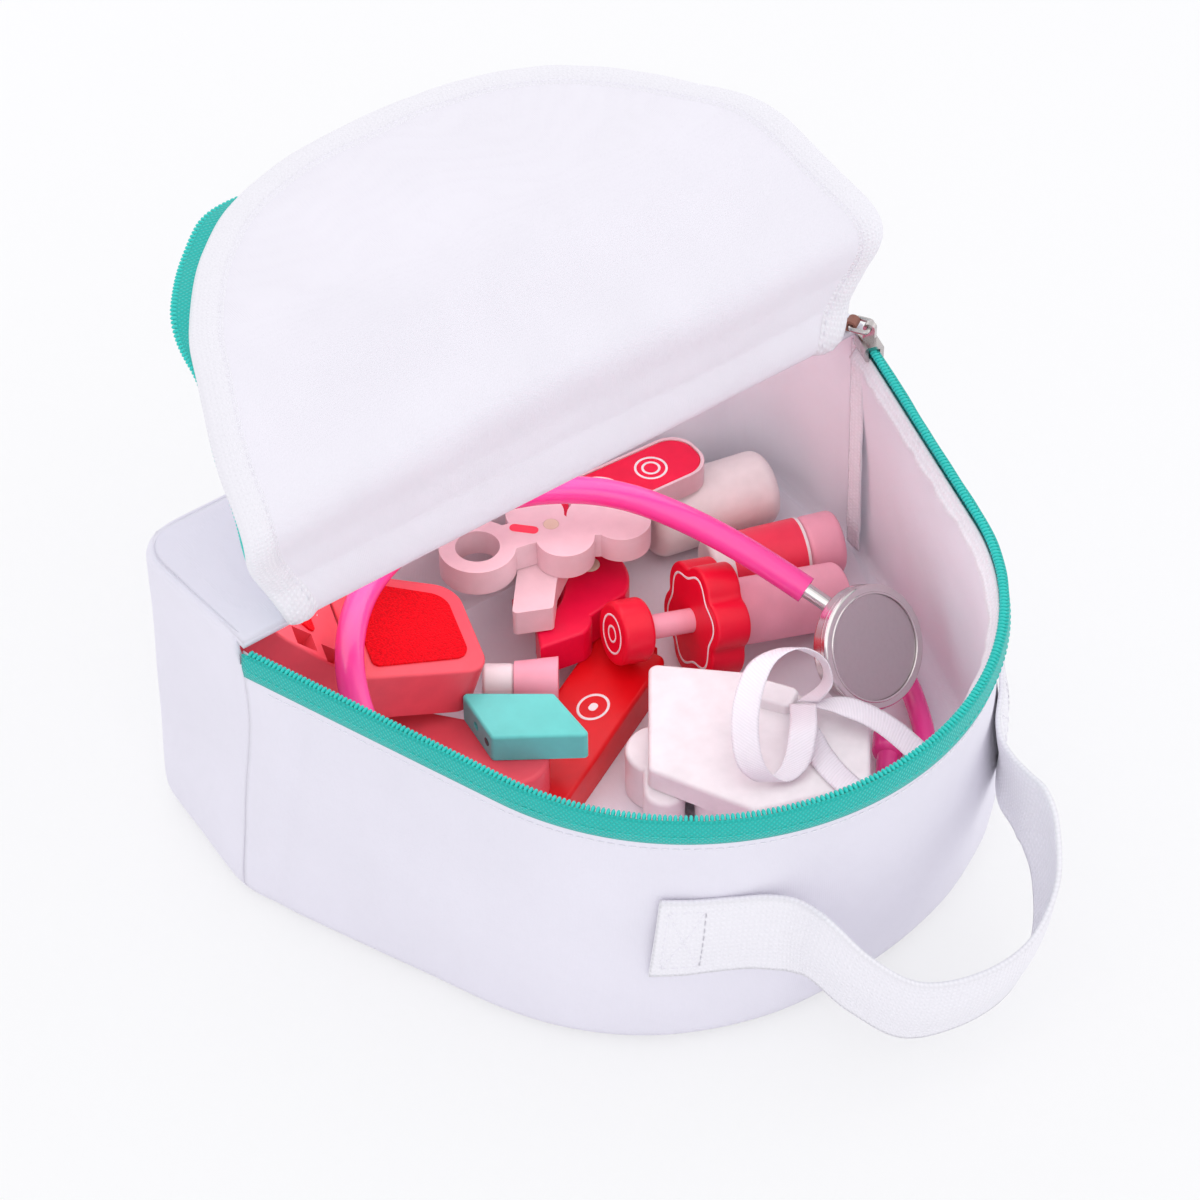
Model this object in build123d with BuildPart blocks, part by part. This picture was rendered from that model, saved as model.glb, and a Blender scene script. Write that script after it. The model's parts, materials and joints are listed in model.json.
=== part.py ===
"""Soft doctor's play case: a zipped D-shaped fabric case with its set of toy instruments.

Millimetres, +Z up.  The origin lies on the resting plane, below the middle of the line where the
lid folds.  +X runs along that fold, -Y points at the rounded front with the carrying handle.
"""
from build123d import *
from math import acos, atan2, cos, hypot, pi, radians, sin, tan
import os

os.makedirs("parts", exist_ok=True)

# ---- driving dimensions: the soft case ---------------------------------------------------------
BASE_HALF = 122.0        # half width of the base at the fold line
BASE_NOSE_R = 96.0       # radius of the base's rounded front
BASE_NOSE_Y = -43.0      # centre of that radius
RIM_HALF = 120.0         # half width of the mouth at the fold line
RIM_NOSE_R = 96.0        # radius of the mouth's rounded front
RIM_NOSE_Y = -58.0       # centre of that radius
BACK_HALF = 122.0        # half width across the back corners
BACK_Y = 60.0            # outer face of the back
BACK_CORNER_R = 14.0     # rounded back corners
CLOTH = 3.0              # wall laminate: outer cloth, foam and lining
FLOOR_T = 4.0            # padded bottom panel
WALL_TOP = 91.0          # top edge of the front cloth, where the zip is sewn on
SEAM = 0.3               # gap left between two sewn cloth pieces

# ---- driving dimensions: the zip ----------------------------------------------------------------
TAPE_W = 8.0             # visible width of one zip tape
TAPE_T = 1.2
COIL_W = 3.2             # the row of coil teeth along the tape's edge
COIL_H = 2.4
SLIDER_L = 9.0
SLIDER_PLATE = 1.3
SLIDER_DROP = 4.4        # how far the slider's plates reach down beside the coil
SLIDER_START = 1.5       # how far the slider stands from the end of the zip
RUN_GAP = 0.35           # clearance of everything that runs or turns
PULL_L = 24.0            # leather pull tab
PULL_W = 8.0
PULL_T = 2.0
PULL_NECK_W = 4.0        # part of the tab that is folded round the link
PULL_ANGLE = 120.0       # direction in which the tab lies, counted from +X
LINK_D = 1.6             # wire of the pull's link
LINK_L = 6.0             # between the link's two end wires
LINK_W = 6.4             # between the link's two side wires

# ---- driving dimensions: the lid ----------------------------------------------------------------
LID_ROOT_HALF = RIM_HALF - 18.0    # half width of the lid at its fold
LID_SHOULDER_HALF = RIM_HALF - 4.5
LID_SHOULDER_S = 36.0    # how far from the fold the lid reaches its full width
LID_T = 2.5
BINDING_W = 8.5          # woven binding round the lid's lining
BINDING_T = 1.0
LID_TAPE_W = 5.5         # lid-side zip tape that shows beyond the binding
LID_FOLDS = (0.0, 45.0, 95.0)      # distance of each bend line from the fold
LID_ANGLES = (99.0, 36.0, 4.0)     # slope of each lid panel above +Y while it hangs open
BEND_GAP = 0.25          # half the slot at a bend line

# ---- driving dimensions: the handle -------------------------------------------------------------
WEB_W = 30.0             # webbing width
WEB_T = 1.6
HANDLE_Z = 50.0          # height of the line on which the handle swings
MIDDLE_FRONT = (BASE_NOSE_Y - BASE_NOSE_R + RIM_NOSE_Y - RIM_NOSE_R) / 2    # front wall at half height
HANDLE_FOLD_Y = MIDDLE_FRONT - 13.5   # the free loop starts here, well in front
MIDDLE_NOSE_R = (BASE_NOSE_R + RIM_NOSE_R) / 2
HANDLE_LEFT_X = 63.0 - MIDDLE_NOSE_R     # where the loop leaves the left sewn end
HANDLE_RIGHT_X = MIDDLE_NOSE_R - 43.0
HANDLE_DROOP = 30.0      # how far the loop hangs below level, in degrees
HANDLE_REACH = 30.0      # how far the loop stands out from its swing line
LEFT_PATCH = (41.0, 28.0)          # sewn end: from and to, in degrees round the nose
RIGHT_PATCH = (52.0, 38.0)
SEWN_GAP = 0.25          # webbing to wall
LOOP_GAP = 0.4           # between the sewn ends and the loop that swings

# ---- driving dimensions: the stethoscope --------------------------------------------------------
REST = 0.3               # gap under a piece that lies loose on another
PIN_GAP = 0.08           # clearance round a rivet, a rod or a plug

TUBE_D = 9.0
EAR_TUBE_D = 7.0
CHEST_D = 40.0
CHEST_T = 7.0
CHEST_RING_W = 3.2       # clamping ring round the diaphragm
DIAPHRAGM_T = 1.2
DRUM_D = 27.0            # smaller drum behind the disc
DRUM_T = 7.0
STEM_D = 5.0
STEM_L = 18.5
YOKE_D = 13.0
YOKE_L = 16.0
STEM_LEAD = 21.0         # straight start of the chest tube on the stem's line
YOKE_LEAD = 18.0         # straight end of the chest tube in front of the yoke
EAR_LEAD = 13.0          # straight start of each ear tube
EAR_SPREAD = 8.4         # between the two ear tubes where they leave the yoke
EAR_TIP_D = 10.0
EAR_TIP_L = 12.0

# ---- driving dimensions: the other toys ---------------------------------------------------------
SYRINGE_D = 22.0
BARREL_L = 42.0
SYRINGE_BORE_D = 15.0
BORE_DEPTH = 38.0
FLANGE_R = 20.0          # finger plate with soft lobes
FLANGE_LOBE_R = 8.5
FLANGE_LOBES = 6
FLANGE_T = 12.0
ROD_D = 8.0
ROD_OUT = 17.0           # rod showing between knob and finger plate
KNOB_D = 21.0
KNOB_T = 11.0
SEAL_T = 6.0
SEAL_START = 16.0        # how deep the seal stands in the bore
PLUG_D = 4.0             # spigots that hold knob and seal on the rod
PLUG_L = 5.0

JAW_W = 52.0             # width of a jaw along its hinge
JAW_FAR_W = 40.0
RIGHT_JAW_DEPTH = 45.0
LEFT_JAW_DEPTH = 34.0
RIGHT_JAW_T = 17.0
LEFT_JAW_T = 14.0
JAW_RIM = 5.5
JAW_CORNER_R = 9.0
SOCKET = 8.0             # square tooth socket
SOCKET_DEPTH = 7.0
GUM_BAND = 13.0          # band of gum that holds the sockets
FELT_T = 1.4
FELT_SUNK = 0.8          # how deep the felt is let in
RIGHT_JAW_TILT = 19.0
LEFT_JAW_TILT = 42.0

PLIER_T = 12.5
PLIER_HANDLE_W = 13.0
RIVET_D = 7.0
RIVET_DOME = 0.8
FORCEP_T = 9.5
RING_R = 12.5            # finger ring of the forceps
RING_HOLE_R = 7.2
FORCEP_W = 12.0
FORCEP_LOBE_R = 9.5
PIN_D = 5.0

SLAB_T = 12.5            # toothpaste tube cut from board
SLAB_L = 76.0
SLAB_W = 25.0
PLANK_T = 13.5           # tongue spatula
PLANK_L = 66.0
PLANK_W = 25.0
BLOCK_T = 10.0           # handle block with slanted ends
BLOCK_HOLE_D = 3.2
BLOCK_HOLE_DEPTH = 9.0
DROPPER_D = 16.0         # dropper with a white cap
DROPPER_TIP_D = 13.0
DROPPER_L = 14.0
DROPPER_CAP_D = 11.5
DROPPER_CAP_L = 10.0

OINTMENT_D = 26.0
OINTMENT_L = 46.0
OINTMENT_EDGE_R = 5.0
BOTTLE_D = 22.0
BOTTLE_L = 33.0
BOTTLE_CAP_L = 13.0
BOTTLE_CAP_D = 21.6
LABEL_T = 0.6
LABEL_L = 25.0
THERMO_L = 62.0
THERMO_W = 21.0
THERMO_T = 8.4
THERMO_FACE_T = 2.4      # coloured face let into the thermometer's top

TOOTH_T = 17.0
BOARD_T = 8.0
CLIP_L = 16.0
CLIP_W = 9.0
CLIP_T = 4.0
RIBBON_W = 9.5
RIBBON_T = 0.6
RIBBON_LOOP = (13.0, 16.0)         # half width and half height of the standing loop

# ---- where the toys lie -------------------------------------------------------------------------
FLOOR_REST = FLOOR_T + REST
CHEST_CENTRE = Vector(70.4, -66.4, 38)
CHEST_FACE = Vector(0.10, -0.82, 0.56).normalized()     # the way the diaphragm looks
STEM_START = Vector(73, -53, 37)
STEM_WAY = Vector(-0.38, 0.857, 0.358).normalized()
CHEST_ROUTE = [                              # tubing from the stem round the case to the yoke
    (47, 1, 58), (36, 18, 62), (22, 30, 64), (4, 37.5, 66), (-16, 39.5, 68),
    (-37, 35.5, 70), (-56, 27, 72.5), (-72, 14, 74.5), (-85, -2, 74.5), (-93, -19, 71), (-96, -36, 64),
    (-92, -53, 54), (-86, -68, 43), (-76, -81, 32), (-62, -91.5, 21),
]
YOKE_START = Vector(-27, -106.5, FLOOR_REST + YOKE_D / 2)
YOKE_WAY = Vector(0.94, -0.34, 0).normalized()
EAR_LOW = FLOOR_REST + EAR_TIP_D / 2
FRONT_EAR_ROUTE = [(20, -123, EAR_LOW), (40, -117, EAR_LOW), (58, -106, EAR_LOW), (73, -91, EAR_LOW),
                   (84, -73, EAR_LOW), (92, -54, EAR_LOW), (99, -35, EAR_LOW)]
REAR_EAR_ROUTE = [(19, -112, EAR_LOW), (36, -106, EAR_LOW), (50, -97, EAR_LOW), (61, -85, EAR_LOW)]

SLAB_CENTRE = (-10.0, -17.5)
SLAB_TURN = 26.0
PLANK_CENTRE = (-57.5, -11.5)
PLANK_TURN = -53.0
BLOCK_CENTRE = (-36.5, -24.5)
BLOCK_CORNERS = [(-10, 20), (13, 2), (11, -20), (-14, -2)]
DROPPER_SPOT = (-10.0, -6.5)
DROPPER_TURN = 142.0
PLIER_PIVOT = (28.0, 27.0)
FORCEP_RING = (-8.0, 38.5)
FORCEP_PIN = (17.0, 32.5)
FORCEP_HEAD = (31.0, 27.0)
KNOB_END = Vector(13, -4.7, 31)
SYRINGE_WAY = Vector(0.957, -0.233, -0.172).normalized()
OINTMENT_SPOT = (63.0, 42.3)
OINTMENT_TURN = -13.0
BOTTLE_SPOT = (66.0, 12.5)
BOTTLE_TURN = -19.0
THERMO_SPOT = (54.0, 44.5)
THERMO_TURN = -4.0
TOOTH_SPOT = (6.0, -53.0)
TOOTH_TURN = -37.0
BOARD_CORNERS = [(15, -21), (-14, -58), (1, -92), (36, -105), (53, -85), (37, -43)]
CLIP_SPOT = (35.0, -58.0)
CLIP_TURN = -60.0
LOOP_SPOT = (30.0, -72.0)
LOOP_TURN = -30.0
TAIL_ROUTE = [(42, -81), (52, -84)]       # flat tail of the ribbon, from the loop
JAW_HINGE = Vector(-70, 25.5, 62)
JAW_HINGE_TURN = -110.0  # direction of the jaws' hinge line, from its back end to its front end


# ---- outlines -----------------------------------------------------------------------------------
def tangent_point(x, y, radius, centre_y):
    """Point where a line from (x, y) touches the nose circle on its right side."""
    dx, dy = x, y - centre_y
    turn = atan2(dy, dx) - acos(radius / hypot(dx, dy))
    return radius * cos(turn), centre_y + radius * sin(turn)


def at_height(low, high, z):
    """Size at height z of something that changes evenly from the floor to the mouth."""
    return low + (high - low) * z / WALL_TOP


def case_outline(z, inset=0.0):
    """D-shaped plan of the case at height z."""
    half = at_height(BASE_HALF, RIM_HALF, z)
    nose_r = at_height(BASE_NOSE_R, RIM_NOSE_R, z)
    nose_y = at_height(BASE_NOSE_Y, RIM_NOSE_Y, z)
    tx, ty = tangent_point(half, 0.0, nose_r, nose_y)
    with BuildSketch() as plan:
        with BuildLine():
            Polyline((-tx, ty), (-half, 0), (-BACK_HALF, BACK_Y), (BACK_HALF, BACK_Y), (half, 0), (tx, ty))
            ThreePointArc((tx, ty), (0, nose_y - nose_r), (-tx, ty))
        make_face()
        fillet(plan.vertices().group_by(Axis.Y)[-1], BACK_CORNER_R)
        if inset:
            offset(amount=-inset, kind=Kind.INTERSECTION, mode=Mode.REPLACE)
    return plan.sketch


def case_block(z_low, z_high, inset=0.0):
    """Solid between the case's plans at two heights."""
    with BuildPart() as block:
        with BuildSketch(Plane.XY.offset(z_low)):
            add(case_outline(z_low, inset))
        with BuildSketch(Plane.XY.offset(z_high)):
            add(case_outline(z_high, inset))
        loft()
    return block.part


def half_plane(front):
    """Everything in front of the fold line, or everything behind it, less half a seam."""
    far = 3 * BACK_HALF
    with BuildSketch() as side:
        with Locations((0, -(far + SEAM) / 2 if front else (far + SEAM) / 2)):
            Rectangle(2 * far, far)
    return side.sketch


def lid_outline(grow=0.0):
    """Plan of the lid in its own frame: x across, y away from the fold."""
    tx, ty = tangent_point(LID_SHOULDER_HALF, -LID_SHOULDER_S, RIM_NOSE_R, RIM_NOSE_Y)
    mid = ((LID_ROOT_HALF + 2 * LID_SHOULDER_HALF) / 3, LID_SHOULDER_S * 0.38)
    with BuildSketch() as plan:
        with BuildLine():
            Line((-LID_ROOT_HALF, 0), (LID_ROOT_HALF, 0))
            ThreePointArc((LID_ROOT_HALF, 0), mid, (LID_SHOULDER_HALF, LID_SHOULDER_S))
            Line((LID_SHOULDER_HALF, LID_SHOULDER_S), (tx, -ty))
            ThreePointArc((tx, -ty), (0, RIM_NOSE_R - RIM_NOSE_Y), (-tx, -ty))
            Line((-tx, -ty), (-LID_SHOULDER_HALF, LID_SHOULDER_S))
            ThreePointArc((-LID_SHOULDER_HALF, LID_SHOULDER_S), (-mid[0], mid[1]), (-LID_ROOT_HALF, 0))
        make_face()
        if grow:
            offset(amount=grow, kind=Kind.INTERSECTION, mode=Mode.REPLACE)
    return plan.sketch


def direction(turn, slope=0.0):
    """Unit vector at an angle round Z and an angle above level."""
    level = cos(radians(slope))
    return Vector(level * cos(radians(turn)), level * sin(radians(turn)), sin(radians(slope)))


def lying(spot, z, turn=0.0):
    """Level plane at height z over a spot, turned round Z."""
    return Plane((spot[0], spot[1], z), x_dir=direction(turn), z_dir=(0, 0, 1))


def corner_radii(points):
    """Radius of the arc at each corner of a cord: as large as its two runs allow."""
    radii = []
    for before, here, after in zip(points, points[1:], points[2:]):
        run_in, run_out = here - before, after - here
        turn = radians(run_in.get_angle(run_out))
        radii.append(0.45 * min(run_in.length, run_out.length) / tan(turn / 2))
    return radii


def cord_solid(points, diameter, name):
    """Plain tube along straight runs joined by tangent arcs."""
    points = [Vector(*point) for point in points]
    radii = corner_radii(points)
    with BuildPart() as cord:
        with BuildLine() as path:
            FilletPolyline(*points, radius=radii)
        with BuildSketch(Plane(points[0], z_dir=points[1] - points[0])):
            Circle(diameter / 2)
        sweep(path=path.line)
    length = sum(edge.length for edge in path.edges())
    print(f"{name}: {length:.0f} mm long, smallest bend {min(radii):.0f} mm,",
          f"volume against section times length {cord.part.volume / (length * pi * diameter ** 2 / 4):.4f}")
    return cord.part


def finish(builder, name):
    """Label a finished piece and write its file."""
    builder.part.label = name
    export_step(builder.part, f"parts/{name}.step")


# ---- the case -----------------------------------------------------------------------------------
RIM_TOP = WALL_TOP + TAPE_W
HINGE_Z = RIM_TOP + RUN_GAP + LID_T + BINDING_T
BACK_TOP = HINGE_Z - CLOTH
NOSE_TIP = RIM_NOSE_Y - RIM_NOSE_R

with BuildPart() as bottom_panel:
    with BuildSketch():
        add(case_outline(0.0, CLOTH + SEAM))
    extrude(amount=FLOOR_T)
finish(bottom_panel, "bottom_panel")

wall_outside = case_block(0.0, WALL_TOP)
wall_inside = case_block(0.0, WALL_TOP, CLOTH)
with BuildPart() as front_wall:
    add(wall_outside)
    add(wall_inside, mode=Mode.SUBTRACT)
    split(bisect_by=Plane.XZ.offset(SEAM / 2), keep=Keep.TOP)
finish(front_wall, "front_wall")

back_outside = case_block(0.0, BACK_TOP)
back_inside = case_block(0.0, BACK_TOP, CLOTH)
with BuildPart() as back_wall:
    add(back_outside)
    add(back_inside, mode=Mode.SUBTRACT)
    split(bisect_by=Plane.XZ.offset(-SEAM / 2), keep=Keep.BOTTOM)
finish(back_wall, "back_wall")

with BuildPart() as top_strip:
    with BuildSketch(Plane.XY.offset(BACK_TOP)):
        add(case_outline(BACK_TOP))
        add(half_plane(front=False), mode=Mode.INTERSECT)
    extrude(amount=CLOTH)
    fillet(top_strip.edges().group_by(Axis.Z)[-1].sort_by(Axis.Y)[-1], CLOTH / 3)
finish(top_strip, "top_strip")


def rim_ring(width):
    """Strip of the given width along the middle of the front cloth's top edge."""
    side = (CLOTH - width) / 2
    with BuildSketch() as ring:
        add(case_outline(WALL_TOP, side))
        add(case_outline(WALL_TOP, side + width), mode=Mode.SUBTRACT)
        add(half_plane(front=True), mode=Mode.INTERSECT)
    return ring.sketch


with BuildPart() as body_zip:
    with BuildSketch(Plane.XY.offset(WALL_TOP)):
        add(rim_ring(TAPE_T))
    extrude(amount=TAPE_W)
    with BuildSketch(Plane.XY.offset(RIM_TOP - COIL_H)):
        add(rim_ring(COIL_W))
    extrude(amount=COIL_H)
finish(body_zip, "body_zip")

# ---- the slider and its pull --------------------------------------------------------------------
side_x, side_y = tangent_point(RIM_HALF, 0.0, RIM_NOSE_R, RIM_NOSE_Y)
SIDE_WAY = Vector(side_x - RIM_HALF, side_y, 0).normalized()
SIDE_IN = Vector(SIDE_WAY.Y, -SIDE_WAY.X, 0)
slider_spot = (Vector(RIM_HALF, 0, 0) + SIDE_IN * (CLOTH / 2) + SIDE_WAY * (SLIDER_START + SLIDER_L / 2))
PULL_Z = HINGE_Z + REST + PULL_T          # height of the link and of the pull's swing axis
PULL_WAY = direction(PULL_ANGLE)
pivot = Vector(slider_spot.X, slider_spot.Y, PULL_Z)

slider_half = COIL_W / 2 + RUN_GAP + SLIDER_PLATE
slider_top = RIM_TOP + RUN_GAP + SLIDER_PLATE
with BuildPart() as slider:
    with BuildSketch(Plane((slider_spot.X, slider_spot.Y, 0), x_dir=SIDE_IN, z_dir=SIDE_WAY * -1)):
        with Locations((0, slider_top - (SLIDER_DROP + SLIDER_PLATE) / 2)):
            RectangleRounded(2 * slider_half, SLIDER_DROP + SLIDER_PLATE, SLIDER_PLATE * 0.8)
        with Locations((0, RIM_TOP + RUN_GAP - (COIL_H + 2 * RUN_GAP) / 2)):
            Rectangle(COIL_W + 2 * RUN_GAP, COIL_H + 2 * RUN_GAP, mode=Mode.SUBTRACT)
        with Locations((0, RIM_TOP - SLIDER_DROP)):
            Rectangle(TAPE_T + 2 * RUN_GAP, 2 * SLIDER_DROP, mode=Mode.SUBTRACT)
    extrude(amount=SLIDER_L / 2, both=True)
    with BuildSketch(Plane((pivot.X, pivot.Y, 0), x_dir=PULL_WAY, z_dir=PULL_WAY.cross(Vector(0, 0, 1)))):
        crown_r = LINK_D / 2 + PIN_GAP + 1.1
        with Locations((0, PULL_Z)):
            Circle(crown_r)
        with Locations((0, (PULL_Z + slider_top) / 2)):
            Rectangle(2 * crown_r, PULL_Z - slider_top)
        with Locations((0, PULL_Z)):
            Circle(LINK_D / 2 + PIN_GAP, mode=Mode.SUBTRACT)
    extrude(amount=1.1, both=True)
finish(slider, "zip_slider")

with BuildPart() as pull_link:
    with BuildLine(Plane(pivot, x_dir=PULL_WAY, z_dir=(0, 0, 1))) as link_path:
        FilletPolyline((0, LINK_W / 2), (LINK_L, LINK_W / 2), (LINK_L, -LINK_W / 2),
                       (0, -LINK_W / 2), radius=LINK_D * 0.9, close=True)
    with BuildSketch(Plane(link_path.line @ 0, z_dir=link_path.line % 0)):
        Circle(LINK_D / 2)
    sweep(path=link_path.line)
finish(pull_link, "pull_link")

with BuildPart() as pull_tab:
    eye = pivot + PULL_WAY * LINK_L
    eye_plane = Plane(eye, x_dir=PULL_WAY, z_dir=PULL_WAY.cross(Vector(0, 0, 1)))
    with BuildSketch(eye_plane):
        Circle(PULL_T)
        with Locations((PULL_L / 4, -PULL_T / 2)):
            Rectangle(PULL_L / 2, PULL_T)
    extrude(amount=PULL_NECK_W / 2, both=True)
    neck_end = LINK_D + PULL_T * 1.4
    with BuildSketch(Plane(eye + Vector(0, 0, -PULL_T), x_dir=PULL_WAY, z_dir=(0, 0, 1))):
        with Locations(((PULL_L + neck_end) / 2, 0)):
            RectangleRounded(PULL_L - neck_end, PULL_W, PULL_W * 0.3)
    extrude(amount=PULL_T)
    with BuildSketch(eye_plane):
        Rectangle(LINK_D + 2 * PIN_GAP, LINK_D + 2 * PIN_GAP)
    extrude(amount=PULL_W, both=True, mode=Mode.SUBTRACT)
finish(pull_tab, "pull_tab")

# ---- the lid ------------------------------------------------------------------------------------
LID_END = RIM_NOSE_R - RIM_NOSE_Y
lid_planes = []
fold_point = Vector(0, 0, HINGE_Z)
for fold, slope, next_fold in zip(LID_FOLDS, LID_ANGLES, LID_FOLDS[1:] + (LID_END,)):
    lid_planes.append(Plane(fold_point, x_dir=(1, 0, 0), z_dir=direction(90, slope + 90)))
    fold_point = fold_point + direction(90, slope) * (next_fold - fold)


def lid_band(index, outline):
    """Part of a lid outline between two bend lines, drawn from the first of them."""
    start = LID_FOLDS[index]
    end = (LID_FOLDS + (2 * LID_END,))[index + 1]
    with BuildSketch() as band:
        with Locations((0, -start)):
            add(outline)
        with Locations((0, (end - start) / 2)):
            Rectangle(4 * LID_SHOULDER_HALF, end - start - 2 * BEND_GAP, mode=Mode.INTERSECT)
    return band.sketch


lid_inner = lid_outline(-BINDING_W)
for index, name in enumerate(("root", "middle", "tip")):
    lid_plane = lid_planes[index]
    with BuildPart() as lid_panel:
        with BuildSketch(lid_plane):
            add(lid_band(index, lid_outline()))
        extrude(amount=LID_T)
    finish(lid_panel, f"lid_panel_{name}")

    with BuildPart() as lid_binding:
        with BuildSketch(lid_plane.offset(LID_T)):
            add(lid_band(index, lid_outline()))
            add(lid_band(index, lid_inner), mode=Mode.SUBTRACT)
            if index == 0:
                Rectangle(2 * (LID_ROOT_HALF - BINDING_W), 3 * BINDING_W, mode=Mode.SUBTRACT)
        extrude(amount=BINDING_T)
    finish(lid_binding, f"lid_binding_{name}")

    if index:
        with BuildPart() as lid_zip:
            with BuildSketch(lid_plane.offset(LID_T + BINDING_T - TAPE_T)):
                add(lid_band(index, lid_outline(LID_TAPE_W)))
                add(lid_band(index, lid_outline()), mode=Mode.SUBTRACT)
            extrude(amount=TAPE_T)
            with BuildSketch(lid_plane.offset(LID_T + BINDING_T - COIL_H)):
                add(lid_band(index, lid_outline(LID_TAPE_W)))
                add(lid_band(index, lid_outline(LID_TAPE_W - COIL_W)), mode=Mode.SUBTRACT)
            extrude(amount=COIL_H)
        finish(lid_zip, f"lid_zip_{name}")

# ---- the handle ---------------------------------------------------------------------------------
PATCH_LOW, PATCH_HIGH = HANDLE_Z - WEB_W / 2, HANDLE_Z + WEB_W / 2
web_nose_y = at_height(BASE_NOSE_Y, RIM_NOSE_Y, PATCH_LOW)
web_nose_r = at_height(BASE_NOSE_R, RIM_NOSE_R, PATCH_LOW)
wall_lean = (BASE_NOSE_Y - RIM_NOSE_Y) / WALL_TOP      # outward move of the nose for each mm up
sewn_outside = case_block(PATCH_LOW, PATCH_HIGH, -(SEWN_GAP + WEB_T))
sewn_inside = case_block(PATCH_LOW, PATCH_HIGH, -SEWN_GAP)


def sewn_end(side, patch, fold_x):
    """Webbing sewn flat to the wall that leaves it at the patch's end and reaches the swing line."""
    start, stop = radians(patch[0]), radians(patch[1])
    radius = web_nose_r + SEWN_GAP + WEB_T / 2
    leave = Vector(side * radius * sin(stop), web_nose_y - radius * cos(stop), 0)
    bend = (abs(leave.X) - abs(fold_x)) / (1 - sin(stop))      # bends the webbing straight forward
    turned = Vector(fold_x, leave.Y - bend * cos(stop), 0)
    far = 2 * BASE_NOSE_R
    with BuildPart() as end:
        add(sewn_outside)
        add(sewn_inside, mode=Mode.SUBTRACT)
        with BuildSketch(Plane.XY.offset(PATCH_LOW)):
            with BuildLine():
                Polyline((0, web_nose_y), (side * far * sin(start), web_nose_y - far * cos(start)),
                         (side * far * sin(stop), web_nose_y - far * cos(stop)), close=True)
            make_face()
        extrude(amount=WEB_W, dir=(0, -wall_lean, 1), mode=Mode.INTERSECT)
        with BuildSketch(Plane.XY.offset(PATCH_LOW)):
            with BuildLine() as centre_line:
                TangentArc(leave, turned, tangent=(-side * cos(stop), -sin(stop), 0))
                Line(turned, (fold_x, HANDLE_FOLD_Y))
            trace(centre_line.line, line_width=WEB_T)
        extrude(amount=WEB_W, dir=(0, -wall_lean, 1))
    return end


left_end = sewn_end(-1, LEFT_PATCH, HANDLE_LEFT_X)
finish(left_end, "handle_end_left")
right_end = sewn_end(1, RIGHT_PATCH, HANDLE_RIGHT_X)
finish(right_end, "handle_end_right")

with BuildPart() as handle_loop:
    loop_x = (HANDLE_LEFT_X + HANDLE_RIGHT_X) / 2
    loop_half = (HANDLE_RIGHT_X - HANDLE_LEFT_X) / 2 - WEB_T - LOOP_GAP
    droop = Plane((loop_x, HANDLE_FOLD_Y - WEB_T, HANDLE_Z), x_dir=(1, 0, 0),
                  z_dir=direction(-90, 90 - HANDLE_DROOP))
    with BuildSketch(droop):
        with BuildLine() as loop_line:
            ThreePointArc((-loop_half, 0), (0, -HANDLE_REACH), (loop_half, 0))
        trace(loop_line.line, line_width=WEB_T)
    extrude(amount=WEB_W / 2, both=True)
finish(handle_loop, "handle_loop")

# ---- the stethoscope ----------------------------------------------------------------------------
chest_back = CHEST_CENTRE - CHEST_FACE * CHEST_T
with BuildPart() as chestpiece:
    with BuildSketch(Plane(chest_back, z_dir=CHEST_FACE)):
        Circle(CHEST_D / 2)
    extrude(amount=CHEST_T)
    fillet(chestpiece.edges().filter_by(GeomType.CIRCLE), 1.2)
    with BuildSketch(Plane(chest_back, z_dir=CHEST_FACE)):
        Circle(DRUM_D / 2)
    extrude(amount=-DRUM_T, taper=6)
    with BuildSketch(Plane(STEM_START, z_dir=STEM_WAY)):
        Circle(STEM_D / 2)
    extrude(amount=STEM_L)
    with BuildSketch(Plane(CHEST_CENTRE, z_dir=CHEST_FACE)):
        Circle(CHEST_D / 2 - CHEST_RING_W)
    extrude(amount=-DIAPHRAGM_T * 1.5, mode=Mode.SUBTRACT)
finish(chestpiece, "chestpiece")

with BuildPart() as diaphragm:
    with BuildSketch(Plane(CHEST_CENTRE - CHEST_FACE * DIAPHRAGM_T * 1.5, z_dir=CHEST_FACE)):
        Circle(CHEST_D / 2 - CHEST_RING_W - PIN_GAP)
    extrude(amount=DIAPHRAGM_T)
finish(diaphragm, "diaphragm")

stem_end = STEM_START + STEM_WAY * STEM_L
with BuildPart() as chest_tube:
    add(cord_solid([stem_end, stem_end + STEM_WAY * STEM_LEAD, *CHEST_ROUTE,
                    YOKE_START - YOKE_WAY * YOKE_LEAD, YOKE_START], TUBE_D, "chest_tube"))
finish(chest_tube, "chest_tube")

yoke_end = YOKE_START + YOKE_WAY * YOKE_L
yoke_side = YOKE_WAY.cross(Vector(0, 0, 1))
with BuildPart() as yoke:
    with BuildSketch(Plane(YOKE_START, z_dir=YOKE_WAY)):
        Circle(YOKE_D / 2)
    with BuildSketch(Plane(yoke_end, x_dir=yoke_side, z_dir=YOKE_WAY)):
        SlotOverall(EAR_SPREAD + EAR_TUBE_D + 2, YOKE_D - 3)
    loft()
finish(yoke, "yoke")


def ear_tube(side, route, name):
    """One ear tube from the yoke, and the tip plugged on its end."""
    start = yoke_end + yoke_side * (side * EAR_SPREAD / 2)
    points = [start, start + YOKE_WAY * EAR_LEAD] + [Vector(*point) for point in route]
    with BuildPart() as tube:
        add(cord_solid(points, EAR_TUBE_D, name))
    finish(tube, name)
    way = (points[-1] - points[-2]).normalized()
    with BuildPart() as tip:
        with BuildSketch(Plane(points[-1], z_dir=way)):
            Circle(EAR_TIP_D / 2)
        extrude(amount=EAR_TIP_L)
        fillet(tip.edges().filter_by(GeomType.CIRCLE), EAR_TIP_D * 0.3)
    return tip


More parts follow.
